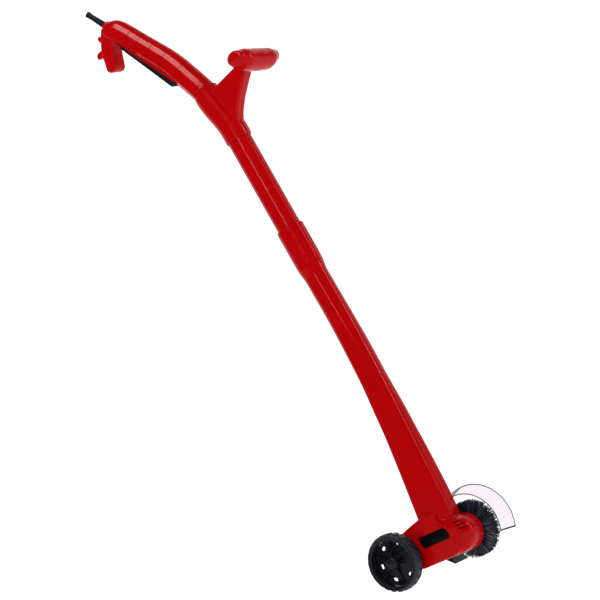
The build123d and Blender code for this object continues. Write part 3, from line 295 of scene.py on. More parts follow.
def spread(tree, source, low, high):
    m = node(tree, "ShaderNodeMapRange")
    m.inputs["To Min"].default_value, m.inputs["To Max"].default_value = low, high
    tree.links.new(source, m.inputs["Value"])
    return m


def bump(tree, bsdf, source, strength, distance):
    b = node(tree, "ShaderNodeBump")
    b.inputs["Strength"].default_value, b.inputs["Distance"].default_value = strength, distance
    tree.links.new(source, b.inputs["Height"])
    tree.links.new(b.outputs["Normal"], bsdf.inputs["Normal"])
    return b


def moulded(name, dark, light, rough=(0.3, 0.4), spec=0.5, grain=900.0, depth=0.25, distance=0.00003, coat=0.0):
    """Moulded plastic: slow colour drift, fine grain in roughness and bump."""
    mat, tree, bsdf = shader(name)
    slow = noise(tree, 22.0, 4.0)
    colour = ramp(tree, slow.outputs["Fac"], [(0.3, dark), (0.7, light)])
    tree.links.new(colour.outputs["Color"], bsdf.inputs["Base Color"])
    fine = noise(tree, grain, 2.0)
    r = spread(tree, fine.outputs["Fac"], *rough)
    tree.links.new(r.outputs["Result"], bsdf.inputs["Roughness"])
    bump(tree, bsdf, fine.outputs["Fac"], depth, distance)
    bsdf.inputs["Specular IOR Level"].default_value = spec
    bsdf.inputs["Coat Weight"].default_value = coat
    bsdf.inputs["Coat Roughness"].default_value = 0.08
    return mat


def metal(name, colour, rough=(0.25, 0.4), stretch=(40, 40, 900)):
    mat, tree, bsdf = shader(name)
    bsdf.inputs["Metallic"].default_value = 1.0
    lines = noise(tree, 1.0, 3.0, stretch)
    c = ramp(tree, lines.outputs["Fac"], [(0.3, tuple(x * 0.82 for x in colour)), (0.7, colour)])
    tree.links.new(c.outputs["Color"], bsdf.inputs["Base Color"])
    r = spread(tree, lines.outputs["Fac"], *rough)
    tree.links.new(r.outputs["Result"], bsdf.inputs["Roughness"])
    bump(tree, bsdf, lines.outputs["Fac"], 0.15, 0.00002)
    return mat


RED = moulded("red_gloss", (0.375, 0.0004, 0.0014), (0.405, 0.0006, 0.0020), (0.12, 0.17), 0.12, 260.0, 0.08, 0.00002)
RED.node_tree.nodes["Principled BSDF"].inputs["Specular Tint"].default_value = (1.0, 0.6, 0.6, 1.0)
BLACK = moulded("black_satin", (0.005, 0.0055, 0.0065), (0.009, 0.0095, 0.011), (0.30, 0.42), 0.10, 1400.0, 0.35, 0.00004)
WHEEL_BLACK = moulded("wheel_black", (0.0045, 0.0048, 0.0075), (0.008, 0.0085, 0.0125), (0.22, 0.32), 0.14, 900.0, 0.2, 0.00004)
SOFT = moulded("soft_black", (0.005, 0.0055, 0.0065), (0.009, 0.0095, 0.011), (0.36, 0.48), 0.07, 1200.0, 0.4, 0.00005)
TYRE = moulded("tyre_black", (0.013, 0.014, 0.022), (0.023, 0.025, 0.037), (0.40, 0.54), 0.22, 800.0, 0.5, 0.00008)
NYLON = moulded("nylon", (0.018, 0.017, 0.030), (0.040, 0.042, 0.062), (0.30, 0.42), 0.25, 700.0, 0.2, 0.00003)
NYLON_DARK = moulded("nylon_dark", (0.007, 0.006, 0.013), (0.014, 0.013, 0.024), (0.30, 0.42), 0.2, 700.0, 0.2, 0.00003)
# pale nylon: painted sheen, standing in for highlight streaks along the hairs
NYLON_PALE_PAINTED_SHEEN = moulded("nylon_pale_painted_sheen", (0.060, 0.070, 0.095), (0.105, 0.120, 0.155), (0.28, 0.40), 0.3, 700.0, 0.2, 0.00003)
LABEL = moulded("label_black", (0.002, 0.002, 0.0022), (0.0035, 0.0035, 0.0038), (0.20, 0.28), 0.04, 600.0, 0.2, 0.00002)
WHITE = moulded("natural_nylon", (0.70, 0.68, 0.62), (0.78, 0.76, 0.71), (0.40, 0.5), 0.4, 700.0, 0.2, 0.00003)
STEEL = metal("steel", (0.60, 0.60, 0.61))
BRONZE = metal("bronze", (0.60, 0.42, 0.22))
IRON = metal("iron", (0.24, 0.22, 0.21), (0.4, 0.6))


def clear(name, tint, mirror):
    """Thin clear plastic: see-through, with a faint tint and a soft sheen."""
    mat = bpy.data.materials.new(name)
    mat.use_nodes = True
    tree = mat.node_tree
    tree.nodes.clear()
    out = node(tree, "ShaderNodeOutputMaterial")
    through = node(tree, "ShaderNodeBsdfTransparent")
    cloud = noise(tree, 30.0, 3.0)
    col = ramp(tree, cloud.outputs["Fac"], [(0.35, tint), (0.65, tuple(min(1.0, c * 1.012) for c in tint))])
    tree.links.new(col.outputs["Color"], through.inputs["Color"])
    gloss = node(tree, "ShaderNodeBsdfGlossy")
    gloss.inputs["Roughness"].default_value = 0.06
    rough = spread(tree, cloud.outputs["Fac"], 0.04, 0.09)
    tree.links.new(rough.outputs["Result"], gloss.inputs["Roughness"])
    mix = node(tree, "ShaderNodeMixShader")
    lw = node(tree, "ShaderNodeLayerWeight")
    lw.inputs["Blend"].default_value = mirror
    tree.links.new(lw.outputs["Fresnel"], mix.inputs["Fac"])
    tree.links.new(through.outputs[0], mix.inputs[1])
    tree.links.new(gloss.outputs[0], mix.inputs[2])
    tree.links.new(mix.outputs[0], out.inputs["Surface"])
    return mat


CLEAR = clear("clear_plastic", (0.885, 0.850, 0.880), 0.02)
# dark see-through tint for the guard's edge faces: painted shade where the clear sheet's rims and end look dark
CLEAR_EDGE_PAINTED_SHADE = clear("clear_edge_painted_shade", (0.15, 0.15, 0.16), 0.06)

BY_SLOT = {"red_plastic": RED, "black_plastic": BLACK, "soft_black": SOFT, "tyre_rubber": TYRE, "nylon_bristle": NYLON,
           "clear_guard": CLEAR, "label_black": LABEL, "steel": STEEL, "bronze": BRONZE, "iron_core": IRON,
           "white_plastic": WHITE, "worm_steel": STEEL}
slot_of = {s["node"]: s["material_slot"] for s in frame["record"]["subparts"]}


def paint(ob, mat):
    ob.data.materials.clear()
    ob.data.materials.append(mat)


for name, ob in nodes.items():
    paint(ob, BY_SLOT[slot_of[name]])


def piece(ob, body, mat, slot, *replaced):
    if mat is not None:
        paint(ob, mat)
    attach(ob, body)
    if replaced:
        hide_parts(*replaced)
    return ob


# ------------------------------------------------------------------ lower housing
#        x, z, lean, wx, wy, crispness, chamfer weight
SHAFT = [
    (54.6, 566, -7.0, 43.4, 43.4, 2.0, 0.0),
    (61.8, 512, -7.6, 43.0, 43.0, 2.05, 0.0),
    (68.9, 459, -7.4, 43.0, 43.0, 2.2, 0.05),
    (78.0, 378, -6.0, 43.0, 43.0, 3.0, 0.30),
    (82.5, 324, -4.7, 43.6, 43.0, 4.0, 0.55),
    (85.5, 284, -3.4, 45.0, 42.8, 6.4, 0.85),
    (88.0, 235, -2.2, 47.6, 42.6, 9.5, 1.0),
    (89.2, 200, -1.3, 51.2, 42.4, 13, 1.0),
    (90.0, 160, -0.6, 55.6, 42.2, 16.0, 1.0),
    (90.3, 120, 0.0, 60.0, 42.0, 19.0, 1.0),
    (90.0, 80, 0.0, 62.4, 42.0, 20.0, 1.0),
    (90.0, 60, 0.0, 63.0, 42.0, 20.0, 1.0),
]


def shaft_section(row, s):
    _, _, _, wx, wy, p, w = row
    a, b = wx / 2, wy / 2
    p = max(2.0, p)
    w = min(1.0, max(0.0, w))
    # a long shallow facet leans in from the flank to the crisp front corner
    ex, ey = 0.71 * a, 0.26 * b
    length = math.hypot(ex, ey)
    nx, ny = ey / length, ex / length
    d = 0.29 * a * nx + b * ny
    deg = math.degrees(math.atan2(ny, nx))
    return support([(0, a, 1), (180, a, 1), (90, b, 1), (-90, b, 1), (-deg, d, w), (deg, d, w)], p, 144)


parts = [sweep("shaft", SHAFT, 150, shaft_section)]
COLLAR = [(45.5, 640.0), (54.0, 570.0)]
up = np.array([math.sin(math.radians(-6.94)), 0, math.cos(math.radians(-6.94))])
fore = np.array([math.cos(math.radians(-6.94)), 0, -math.sin(math.radians(-6.94))])


def ridge_radius(base, lift, fade=1.0):
    """Two flat raised strips along a tube, at 36 degrees to each side of its front."""
    def radius_at(s, r, th):
        rr = np.full(len(th), float(max(r, 1e-3)))
        if r < base * 0.9:
            return rr
        deg = np.degrees(np.arctan2(np.sin(th), np.cos(th)))
        for c in (-36.0, 36.0):
            w = np.clip((23.0 - np.abs(deg - c)) / 2.4, 0, 1)
            rr = rr + lift * (w * w * (3 - 2 * w)) * (fade(s) if callable(fade) else fade)
        return rr
    return radius_at


run = math.hypot(COLLAR[0][0] - COLLAR[1][0], COLLAR[0][1] - COLLAR[1][1])
collar_profile = [(-26, 20.0), (-25.2, 21.55), (-20, 22.15), (-12, 23.2), (-5, 23.95), (0, 24.2)] + [(s, 24.25) for s in np.linspace(4, run - 1.6, 14)] + [(run - 0.8, 24.0), (run - 0.2, 23.4), (run, 22.6), (run, 21.5)]
parts.append(lathe("collar", (COLLAR[1][0], 0, COLLAR[1][1]), up, fore, collar_profile, 220,
                   ridge_radius(24.25, 0.9, lambda s: min(1.0, max(0.0, (s + 14) / 26)))))

HEAD_OUT = [(117, 20), (34, 20), (12, 30.5)] + [(1.5, 33.2), (-7.5, 38.0), (-12.7, 45.0), (-12.6, 52.5), (-6.6, 62.4)] + [(14, 86), (31, 91), (66, 98.5), (94, 97), (103, 87), (109, 81.5)] + arc(117, 50, 30, 88, -90, 20)[:-1]
parts.append(prism("head_core", HEAD_OUT, -21.0, 21.0, 3.0, 4, 30))
# raised panel of the near flank, with its S shaped upper ledge
LEDGE = [(31, 91.5), (50, 96.0), (66, 99.6), (76, 101.3), (84, 101.4), (91, 99.4), (96, 95.6), (98.6, 90.5), (100.2, 84), (103, 78.2), (107.5, 74.0), (113, 70.8), (119, 69.2)]
PANEL = [(34, 20), (12, 30.5), (1.5, 33.2), (-7.5, 38.0), (-12.7, 45.0), (-12.6, 52.5), (-6.6, 62.4), (14, 86)] + LEDGE[:-3] + [(106, 74.5), (109, 71.5)] + arc(117, 50, 20.5, 66, -70, 14) + [(116, 24), (104, 20)]
parts.append(prism("panel", PANEL, -27.0, -15.0, 3.4, 5, 24))
parts.append(lathe("dome", (117.8, 0, 50), (0, -1, 0), (1, 0, 0), [(-18, 29.0), (-17.2, 30.4), (-15.5, 31.0), (9, 31.0), (14, 30.4), (18, 29.2), (21.5, 27.4), (24.2, 25.0), (26.0, 22.0), (26.8, 19.0), (27, 17.0)], 96))
# wheel boss
parts.append(lathe("boss", (0, 0, 50), (0, -1, 0), (1, 0, 0), [(-20, 11.0), (-19, 12.6), (20, 13.2), (26.6, 13.0), (27.6, 11.8), (28.1, 10.2)], 64))
housing = fuse("housing", parts, 0.8, 4)
cutters = []
for i, x0 in enumerate((132.5, 128.5, 125.5)):
    z0 = 57.2 + 6.4 * i
    cutters.append(prism(f"slot{i}", [(x0, z0), (x0 + 26, z0), (x0 + 26, z0 + 3.1), (x0, z0 + 3.1)], -32, -18.4, 0.5, 2))
cutters.append(lathe("spindle_bore", (117, 0, 50), (0, 1, 0), (1, 0, 0), [(14, 11.0), (30, 11.0)], 64))
for x, z in [(71, 528), (85, 420), (93, 330), (102, 240), (74, 236), (108, 186), (44, 80), (50, 30)]:
    cutters.append(lathe("screw_bore", (x, 0, z), (0, 1, 0), (1, 0, 0), [(16.3, 3.3), (30, 3.3)], 28))
cut(housing, cutters)
near, far = halves(housing, "lower_shell_right", "lower_shell_left")
piece(near, "frame", RED, "red_plastic", "lower_housing_right")
piece(far, "frame", RED, "red_plastic", "lower_housing_left")

# ------------------------------------------------------------------ tube
TUBE_FOOT, TUBE_LEN = (52.2, 585.4), (840.0 - 585.4) / math.cos(math.radians(-6.94))
tube_profile = [(s, 21.0) for s in np.linspace(0, TUBE_LEN, 60)]
outer = lathe("tube_outer", (TUBE_FOOT[0], 0, TUBE_FOOT[1]), up, fore, tube_profile, 288, ridge_radius(21.0, 0.75))
bore = lathe("tube_bore", (TUBE_FOOT[0], 0, TUBE_FOOT[1]), up, fore, [(-3, 19.0), (TUBE_LEN + 3, 19.0)], 96)
cut(outer, [bore])
outer.name = "shaft_tube"
smooth(outer, 32)
piece(outer, "frame", RED, "red_plastic", "upper_tube")

# ------------------------------------------------------------------ rear handle
BEAM = [
    (-1.9, 920.2, -26.0, 42.6, 42.4, 2.1),
    (-8.0, 933.0, -28.2, 42.8, 42.4, 2.15),
    (-20.8, 957, -31.5, 43.0, 42.0, 2.25),
    (-37.0, 987, -36.0, 42.4, 40.5, 2.4),
    (-55.0, 1013.5, -39.0, 41.6, 39.0, 2.5),
    (-73.3, 1037.3, -41.0, 41.0, 38.0, 2.55),
    (-95.2, 1065.2, -43.0, 41.2, 37.4, 2.6),
    (-118.0, 1093.2, -45.5, 42.0, 36.6, 2.6),
    (-132.4, 1106.3, -48.0, 38.2, 35.0, 2.5),
    (-143.0, 1114.0, -50.0, 26.0, 31.0, 2.3),
]


def beam_section(row, s):
    _, _, _, d, w, p = row
    a, b = d / 2, w / 2
    planes = [(0, a, 1), (180, a, 1), (90, b, 1), (-90, b, 1)]
    for side in (-1, 1):
        # a long flat band above the flank, where the light runs along the beam, then the rounding round it
        for deg, k in ((58, 0.972), (24, 1.0), (80, 1.005), (138, 1.03)):
            f = math.radians(deg)
            planes.append((deg * side, k * math.hypot(a * math.cos(f), b * math.sin(f)), 1))
    return support(planes, 50, 180)


HOOK = [(-146, 1118), (-156, 1102), (-164, 1086), (-168, 1067), (-171, 1046), (-167, 1039.5), (-156, 1037), (-149, 1041), (-142, 1067), (-137, 1078), (-124, 1092)]
TEETH = ([(-148, 1113), (-160, 1108.5), (-167, 1110.5), (-168.5, 1104), (-165, 1096.5), (-156, 1092)],
         [(-160, 1088.5), (-168, 1087), (-178, 1085.5), (-183.5, 1084), (-185.5, 1079), (-185.5, 1074.5), (-172, 1072), (-164, 1068)])
parts = [sweep("beam", BEAM, 90, beam_section), prism("leg", HOOK, -15, 15, 5.0, 6, 28)]
for k, tooth in enumerate(TEETH):
    parts.append(prism(f"tooth{k}", tooth, -6, 6, 1.6, 3, 28))
sl = math.radians(-36.3)
sleeve_dir, sleeve_side = np.array([math.sin(sl), 0, math.cos(sl)]), np.array([math.cos(sl), 0, -math.sin(sl)])
parts.append(lathe("sleeve_boss", (-134, 0, 1108), sleeve_dir, sleeve_side, [(0, 10.0), (1, 11.0), (13.5, 11.0), (15.2, 10.2), (16, 8.8)], 64))
rear = fuse("rear", parts, 0.65, 4)
SLOT = [(-129.5, 1074), (-131, 1058), (-60, 948), (-41.2, 953.9), (-24.1, 964.4), (-42, 988), (-78, 1038), (-100, 1068), (-117, 1087), (-127.5, 1085)]
cutters = [prism("trigger_slot", SLOT, -9.8, 9.8, 0.8, 2, 28),
           lathe("sleeve_bore", (-131, 0, 1104), sleeve_dir, sleeve_side, [(4, 6.3), (40, 6.3)], 48)]
for x, z in [(-158, 1054), (-152, 1090), (-87, 1073), (-27, 994.5)]:
    cutters.append(lathe("screw_bore", (x, 0, z), (0, 1, 0), (1, 0, 0), [(11.8, 3.3), (30, 3.3)], 28))


def ring_cutter(name, x, z, lean, d, w, p, width, depth):
    """A thin frame round the beam that cuts a groove of that width and depth."""
    u, v, t = station_axes(lean)
    s = 0.5
    th, r = beam_section((x, z, lean, d, w, p), s)
    verts, n = [], len(th)
    for off, rr in ((-width / 2, r - depth), (width / 2, r - depth), (width / 2, r + 4), (-width / 2, r + 4)):
        verts.append(np.array([x, 0, z]) + t * off + np.outer(rr * np.cos(th), u) + np.outer(rr * np.sin(th), v))
    faces = [(k * n + j, k * n + (j + 1) % n, ((k + 1) % 4) * n + (j + 1) % n, ((k + 1) % 4) * n + j) for k in range(4) for j in range(n)]
    return outward(new_object(name, np.concatenate(verts), faces))


beam_rows = np.array(BEAM)
beam_run = np.r_[0, np.cumsum(np.hypot(np.diff(beam_rows[:, 0]), np.diff(beam_rows[:, 1])))]
for k, (gx, gz) in enumerate([(-95, 1079), (-78, 1062), (-61, 1038), (-43, 1010), (-19, 979)]):
    fine = np.linspace(0, beam_run[-1], 400)
    vals = spline(beam_run, beam_rows, fine)
    # the groove's plane is square to the beam where the line through (gx, gz) crosses it
    best, at = 1e9, None
    for row in vals:
        _, _, t = station_axes(row[2])
        off = abs((gx - row[0]) * t[0] + (gz - row[1]) * t[2])
        near_enough = math.hypot(gx - row[0], gz - row[1])
        if off + 0.02 * near_enough < best:
            best, at = off + 0.02 * near_enough, row
    cutters.append(ring_cutter(f"groove{k}", *at[:6], 1.3, 0.8))
cut(rear, cutters)
near, far = halves(rear, "rear_shell_right", "rear_shell_left", 1.9)
piece(near, "frame", RED, "red_plastic", "rear_handle_right")
piece(far, "frame", RED, "red_plastic", "rear_handle_left")

# neck inside the front sleeve is out of sight; the trigger is a soft-edged lever
TRIGGER = [(-127.0, 1076.0), (-126.5, 1066.5), (-124.0, 1063.0), (-58.0, 959.5), (-54.5, 957.2), (-43.0, 956.2), (-41.6, 958.0),
           (-43.0, 967.0), (-46.5, 974.0), (-80.8, 1022.7), (-88.6, 1031.7), (-106.0, 1055.5), (-116.5, 1071.5), (-116.8, 1077.0)]
lever = prism("trigger_lever", TRIGGER, -9.0, 9.0, 1.6, 4, 28)
cut(lever, [lathe("pin_bore", (-122, 0, 1080), (0, 1, 0), (1, 0, 0), [(-12, 4.0), (12, 4.0)], 32)])
smooth(lever, 50)
piece(lever, "trigger_lever", BLACK, "black_plastic", "trigger")

# strain-relief sleeve with its flared end
prof = [(0.2, 3.7), (0.2, 8.5), (0.6, 8.7), (4.6, 8.7), (5.0, 8.4), (5.0, 6.2), (8, 6.0), (22, 6.0), (30, 5.75), (40, 5.4), (50, 5.05), (56, 4.9), (60, 5.0), (63, 5.5), (65.2, 5.9), (66, 5.75), (66, 3.9), (65.2, 3.6)]
sleeve = lathe("strain_relief", (-131, 0, 1104), sleeve_dir, sleeve_side, prof, 72)
inner = lathe("sleeve_inner", (-131, 0, 1104), sleeve_dir, sleeve_side, [(-2, 3.6), (70, 3.6)], 48)
cut(sleeve, [inner])
smooth(sleeve, 40)
piece(sleeve, "frame", SOFT, "soft_black", "cord_sleeve")

# ------------------------------------------------------------------ front handle
SLEEVE_LINE = [(23.96, 817, -6.94), (21.04, 841, -6.94), (11.0, 874, -15.5), (2.6, 900, -21.0), (-1.6, 918.8, -25.0)]


def sleeve_section(row, s):
    r = 23.7 + 0.4 * s - (0.8 if s < 0.006 or s > 0.994 else 0.0)
    n = 200
    th = np.linspace(0, 2 * np.pi, n, endpoint=False)
    deg = np.degrees(np.arctan2(np.sin(th), np.cos(th)))
    rr = np.full(n, r)
    for c in (-38.0, 38.0):
        w = np.clip((20.0 - np.abs(deg - c)) / 2.2, 0, 1)
        g = np.clip(1.4 - np.abs(deg - c) / 1.6, 0, 1)
        rr = rr + 0.85 * w * w * (3 - 2 * w) - 0.6 * g
    return th, rr


parts = [sweep("sleeve", SLEEVE_LINE, 80, sleeve_section)]
ARM = [(2, 914), (32, 918), (84, 928.5), (108, 936), (113, 922), (100, 911), (84, 896), (64, 876), (49, 856), (38, 834), (24, 834)]
parts.append(prism("arm", ARM, -12, 12, 4.5, 5, 24))
GRIP = [(57.0, 7.5, 6.0, 927.5), (55.3, 12.6, 9.6, 927.0), (49.5, 17.4, 13.4, 925.4), (39, 20.6, 17.0, 923.6), (20, 21.8, 19.0, 922.5), (0, 22.0, 19.4, 922.2)]
GRIP = [(-g[0],) + g[1:] for g in GRIP[:-1]] + GRIP[::-1]
th = np.linspace(0, 2 * np.pi, 96, endpoint=False)
rows = spline([g[0] for g in GRIP], [g[1:] for g in GRIP], np.linspace(-57.0, 57.0, 72))
rings = [np.stack([119.6 + a * np.cos(th), np.full(96, y), zc - 0.040 * y + b * np.sin(th)], 1) for y, (a, b, zc) in zip(np.linspace(-57.0, 57.0, 72), rows)]
parts.append(skin("grip", np.array(rings)))
front = fuse("front", parts, 0.65, 4)
cutters = [lathe("tube_way", (23.96, 0, 817), up, fore, [(-5, 21.1), (26, 21.1)], 96)]
for x, z in [(46, 906), (84, 912)]:
    cutters.append(lathe("screw_bore", (x, 0, z), (0, 1, 0), (1, 0, 0), [(8.8, 3.3), (30, 3.3)], 28))
cut(front, cutters)
near, far = halves(front, "front_shell_right", "front_shell_left", 1.9)
piece(near, "frame", RED, "red_plastic", "front_handle_right")
piece(far, "frame", RED, "red_plastic", "front_handle_left")

# ------------------------------------------------------------------ label
plate = prism("name_plate_blank", arc(100.6, 62.4, 8.6, 90, 8, 12) + arc(105.0, 56.6, 5.4, 0, -90, 8) + arc(54.6, 53.4, 2.2, 270, 190, 6) + arc(52.6, 68.6, 2.4, 190, 90, 6), -27.8, -26.4, 0.35, 3, 30)
smooth(plate, 45)
piece(plate, "frame", LABEL, "label_black", "label_plate")

# ------------------------------------------------------------------ brush
def filament(verts, faces, pts, radii):
    """A three-sided tapered hair through pts."""
    base = len(verts)
    pts = [np.array(p, float) for p in pts]
    for i, (p, r) in enumerate(zip(pts, radii)):
        d = pts[min(i + 1, len(pts) - 1)] - pts[max(i - 1, 0)]
        d /= np.linalg.norm(d)
        a = np.cross(d, (0, 1, 0))
        a /= np.linalg.norm(a)
        b = np.cross(d, a)
        for k in range(3):
            verts.append(p + r * (a * math.cos(2.094 * k) + b * math.sin(2.094 * k)))
    for i in range(len(pts) - 1):
        for k in range(3):
            j = (k + 1) % 3
            faces.append((base + 3 * i + k, base + 3 * i + j, base + 3 * i + 3 + j, base + 3 * i + 3 + k))
    e = base + 3 * (len(pts) - 1)
    faces.append((e, e + 1, e + 2))
    faces.append((base + 2, base + 1, base))


verts, faces, tone = [], [], []
TUFTS = 72
for row in range(5):
    yc = 26.4 + row * 3.8
    for t in range(TUFTS):
        lean, reach = rng.normal(0, 0.030), abs(rng.normal(0, 1.9))
        a0 = 2 * math.pi * (t + 0.5 * (row % 2) + rng.uniform(-0.12, 0.12)) / TUFTS
        for _ in range(8):
            ang = a0 + rng.normal(0, 0.016)
            fray = lean + rng.normal(0, 0.028)
            # each hair takes a random tone: the dark and mid tones are tone that differs at random, the pale one is
            # painted sheen
            tone.append(int(rng.choice([0, 1, 2], p=[0.42, 0.36, 0.22])))
            y0 = yc + rng.normal(0, 0.7)
            y1 = yc + rng.normal(0, 1.9) + (yc - 34) * 0.05
            y1 = min(43.6, max(24.4, y1))
            y0 = min(43.2, max(24.8, y0))
            tip = 49.8 - reach - abs(rng.normal(0, 1.3))
            pts = []
            for f in (0.0, 0.4, 0.75, 1.0):
                r = 21.6 + (tip - 21.6) * f
                an = ang + fray * f * f
                pts.append((117 + r * math.cos(an), y0 + (y1 - y0) * f, 50 + r * math.sin(an)))
            filament(verts, faces, pts, (0.50, 0.47, 0.42, 0.32))
bristles = new_object("bristles", verts, faces)
outward(bristles)
for m in (NYLON, NYLON_DARK, NYLON_PALE_PAINTED_SHEEN):
    bristles.data.materials.append(m)
per_hair = len(bristles.data.polygons) // len(tone)
for i, p in enumerate(bristles.data.polygons):
    p.material_index = tone[min(i // per_hair, len(tone) - 1)]
piece(bristles, "brush", None, "nylon_bristle", "bristle_ring")

# ------------------------------------------------------------------ clear guard
A0, A1, N = -21.0, 128.0, 150
prof = [(21.2, 61.4, 1.0), (24, 62.0, 1.0), (32, 64.1, 0.95), (42, 66.9, 0.95), (51, 69.6, 0.95), (53.4, 70.4, 1.15), (54.4, 70.6, 1.05)]
outer_side = [(y, r + t) for y, r, t in prof]
inner_side = [(y, r - t) for y, r, t in prof][::-1]
loop = outer_side + inner_side
m = len(loop)
verts, faces = [], []
for k in range(N + 1):
    a = math.radians(A0 + (A1 - A0) * k / N)
    for y, r in loop:
        verts.append((117 + r * math.cos(a), y, 50 + r * math.sin(a)))
edge_faces = set()
for k in range(N):
    for j in range(m):
        i2 = (j + 1) % m
        if j in (len(prof) - 1, m - 1) or k < 2:
            edge_faces.add(len(faces))
        faces.append((k * m + j, k * m + i2, (k + 1) * m + i2, (k + 1) * m + j))
edge_faces |= {len(faces), len(faces) + 1}
faces.append(tuple(range(m))[::-1])
faces.append(tuple(N * m + j for j in range(m)))
guard = new_object("clear_guard", verts, faces)
guard.data.materials.append(CLEAR)
guard.data.materials.append(CLEAR_EDGE_PAINTED_SHADE)
# the edge faces take the dark tint, painted shade along the sheet's rims and end
for i, p in enumerate(guard.data.polygons):
    p.material_index = 1 if i in edge_faces else 0
    p.use_smooth = i not in edge_faces
piece(guard, "frame", None, "clear_guard", "splash_guard")
flange = prism("guard_flange", [(66, 71), (66, 84)] + arc(117, 50, 60.6, 146, 95, 14) + [(110, 99.5), (104, 92)] + arc(117, 50, 45, 108, 150, 10), 21.2, 23.0, 0.5, 2, 30)
piece(flange, "frame", CLEAR, "clear_guard")

# ------------------------------------------------------------------ wheel
GROOVES = 22


def tread(s, r, th):
    rr = np.full(len(th), float(max(r, 1e-3)))
    if r < 44.5:
        return rr
    y = abs(s)                            # 0 to 24 across the tread
    turn = th / (2 * np.pi) * GROOVES + (y - 12) * 0.055 * (1 if y > 12 else -1)
    saw = np.abs((turn % 1.0) - 0.5) * 2
    depth = np.clip((saw - 0.66) / 0.12, 0, 1)
    rib = np.clip(1 - abs(y - 12) / 1.6, 0, 1)
    return rr - 2.1 * depth * depth * (3 - 2 * depth) * (1 - rib)


tyre_profile = [(0.6, 41.4), (0.0, 42.4), (0.0, 44.0), (0.5, 45.6), (1.4, 47.2), (2.8, 48.6), (4.4, 49.4), (6.0, 49.8)] + [(s, 50.0) for s in np.linspace(7.4, 16.6, 9)] + [(18.0, 49.8), (19.6, 49.4), (21.2, 48.6), (22.6, 47.2), (23.5, 45.6), (24.0, 44.0), (24.0, 42.4), (23.4, 41.4)]
tyre = lathe("tyre_ring", (0, -57, 50), (0, 1, 0), (1, 0, 0), tyre_profile, GROOVES * 22, tread)
cut(tyre, [lathe("tyre_bore", (0, -60, 50), (0, 1, 0), (1, 0, 0), [(0, 41.4), (30, 41.4)], 128)])
smooth(tyre, 50)
piece(tyre, "wheel", TYRE, "tyre_rubber", "tyre")

rim = [lathe("rim_barrel", (0, 0, 50), (0, -1, 0), (1, 0, 0), [(34.0, 38.0), (34.0, 41.3), (36, 41.3), (55.2, 41.3), (56.4, 40.6), (56.4, 39.4), (55.2, 38.9), (40, 37.6), (36.0, 37.0)], 160)]
rim[0] = outward(rim[0])
# the barrel is a ring: cut its middle out
cut(rim[0], [lathe("rim_in", (0, 0, 50), (0, -1, 0), (1, 0, 0), [(30, 36.2), (38, 36.6), (57, 39.2), (60, 39.3)], 128)])
lip = lathe("rim_lip", (0, 0, 50), (0, -1, 0), (1, 0, 0), [(54.6, 38.0), (54.6, 45.4), (55.4, 46.2), (57.0, 46.3), (57.8, 45.7), (57.9, 44.9), (57.2, 44.2), (56.9, 41.8), (56.9, 38.0)], 160)
rim.append(cut(lip, [lathe("lip_in", (0, 0, 50), (0, -1, 0), (1, 0, 0), [(50, 39.2), (60, 39.2)], 128)]))
disc = lathe("rim_disc", (0, 0, 50), (0, -1, 0), (1, 0, 0), [(38.2, 0.1), (38.2, 9.0), (36.2, 36.0), (36.0, 38.6), (39.6, 38.8), (41.6, 9.6), (41.6, 0.1)], 128)
holes = []
for k in range(6):
    a = math.radians(-2 + 60 * k)
    c, s = math.cos(a), math.sin(a)
    quad = [(28.6, -3.4), (33.4, -4.8), (34.6, -2.6), (34.8, 0), (34.6, 2.6), (33.4, 4.8), (28.6, 3.4)]
    holes.append(prism(f"window{k}", [(x * c - z * s, 50 + x * s + z * c) for x, z in quad], -50, -30, 0))
cut(disc, holes)
rim.append(disc)
rim.append(lathe("rim_hub", (0, 0, 50), (0, -1, 0), (1, 0, 0), [(32.0, 8.4), (32.6, 9.2), (41, 9.8), (50.4, 9.2), (51.0, 8.6)], 64))
for k in range(6):
    a = math.radians(28 + 60 * k)
    c, s = math.cos(a), math.sin(a)
    # a tall rib on each spoke, higher at the hub
    outline = [(8.5, 38.5), (38.4, 38.5), (38.4, 44.0), (30, 43.2), (20, 45.5), (8.5, 50.0)]
    verts = []
    for half in (-1.5, 1.5):
        for r, d in outline:
            verts.append((r * c - half * s, -d, 50 + r * s + half * c))
    n = len(outline)
    fc = [tuple(range(n)), tuple(range(2 * n - 1, n - 1, -1))] + [(i, (i + 1) % n, (i + 1) % n + n, i + n) for i in range(n)]
    rim.append(outward(new_object(f"rib{k}", verts, fc)))
wheel = fuse("wheel_disc", rim, 0.55, 3)
cut(wheel, [lathe("axle_bore", (0, 0, 50), (0, -1, 0), (1, 0, 0), [(25, 4.1), (60, 4.1)], 48)])
smooth(wheel, 60)
piece(wheel, "wheel", WHEEL_BLACK, "black_plastic", "wheel_rim")
cap = lathe("hub_cap_dome", (0, 0, 50), (0, -1, 0), (1, 0, 0), [(45.0, 9.6), (45.0, 11.0), (45.5, 11.2), (54.0, 11.2), (55.4, 10.9), (56.8, 10.1), (57.8, 9.0), (58.6, 7.4), (59.0, 6.4), (58.8, 5.9), (59.0, 5.4), (59.6, 3.6), (59.8, 1.6), (59.8, 0.05)], 96)
smooth(cap, 60)
piece(cap, "wheel", WHEEL_BLACK, "black_plastic", "hub_cap")

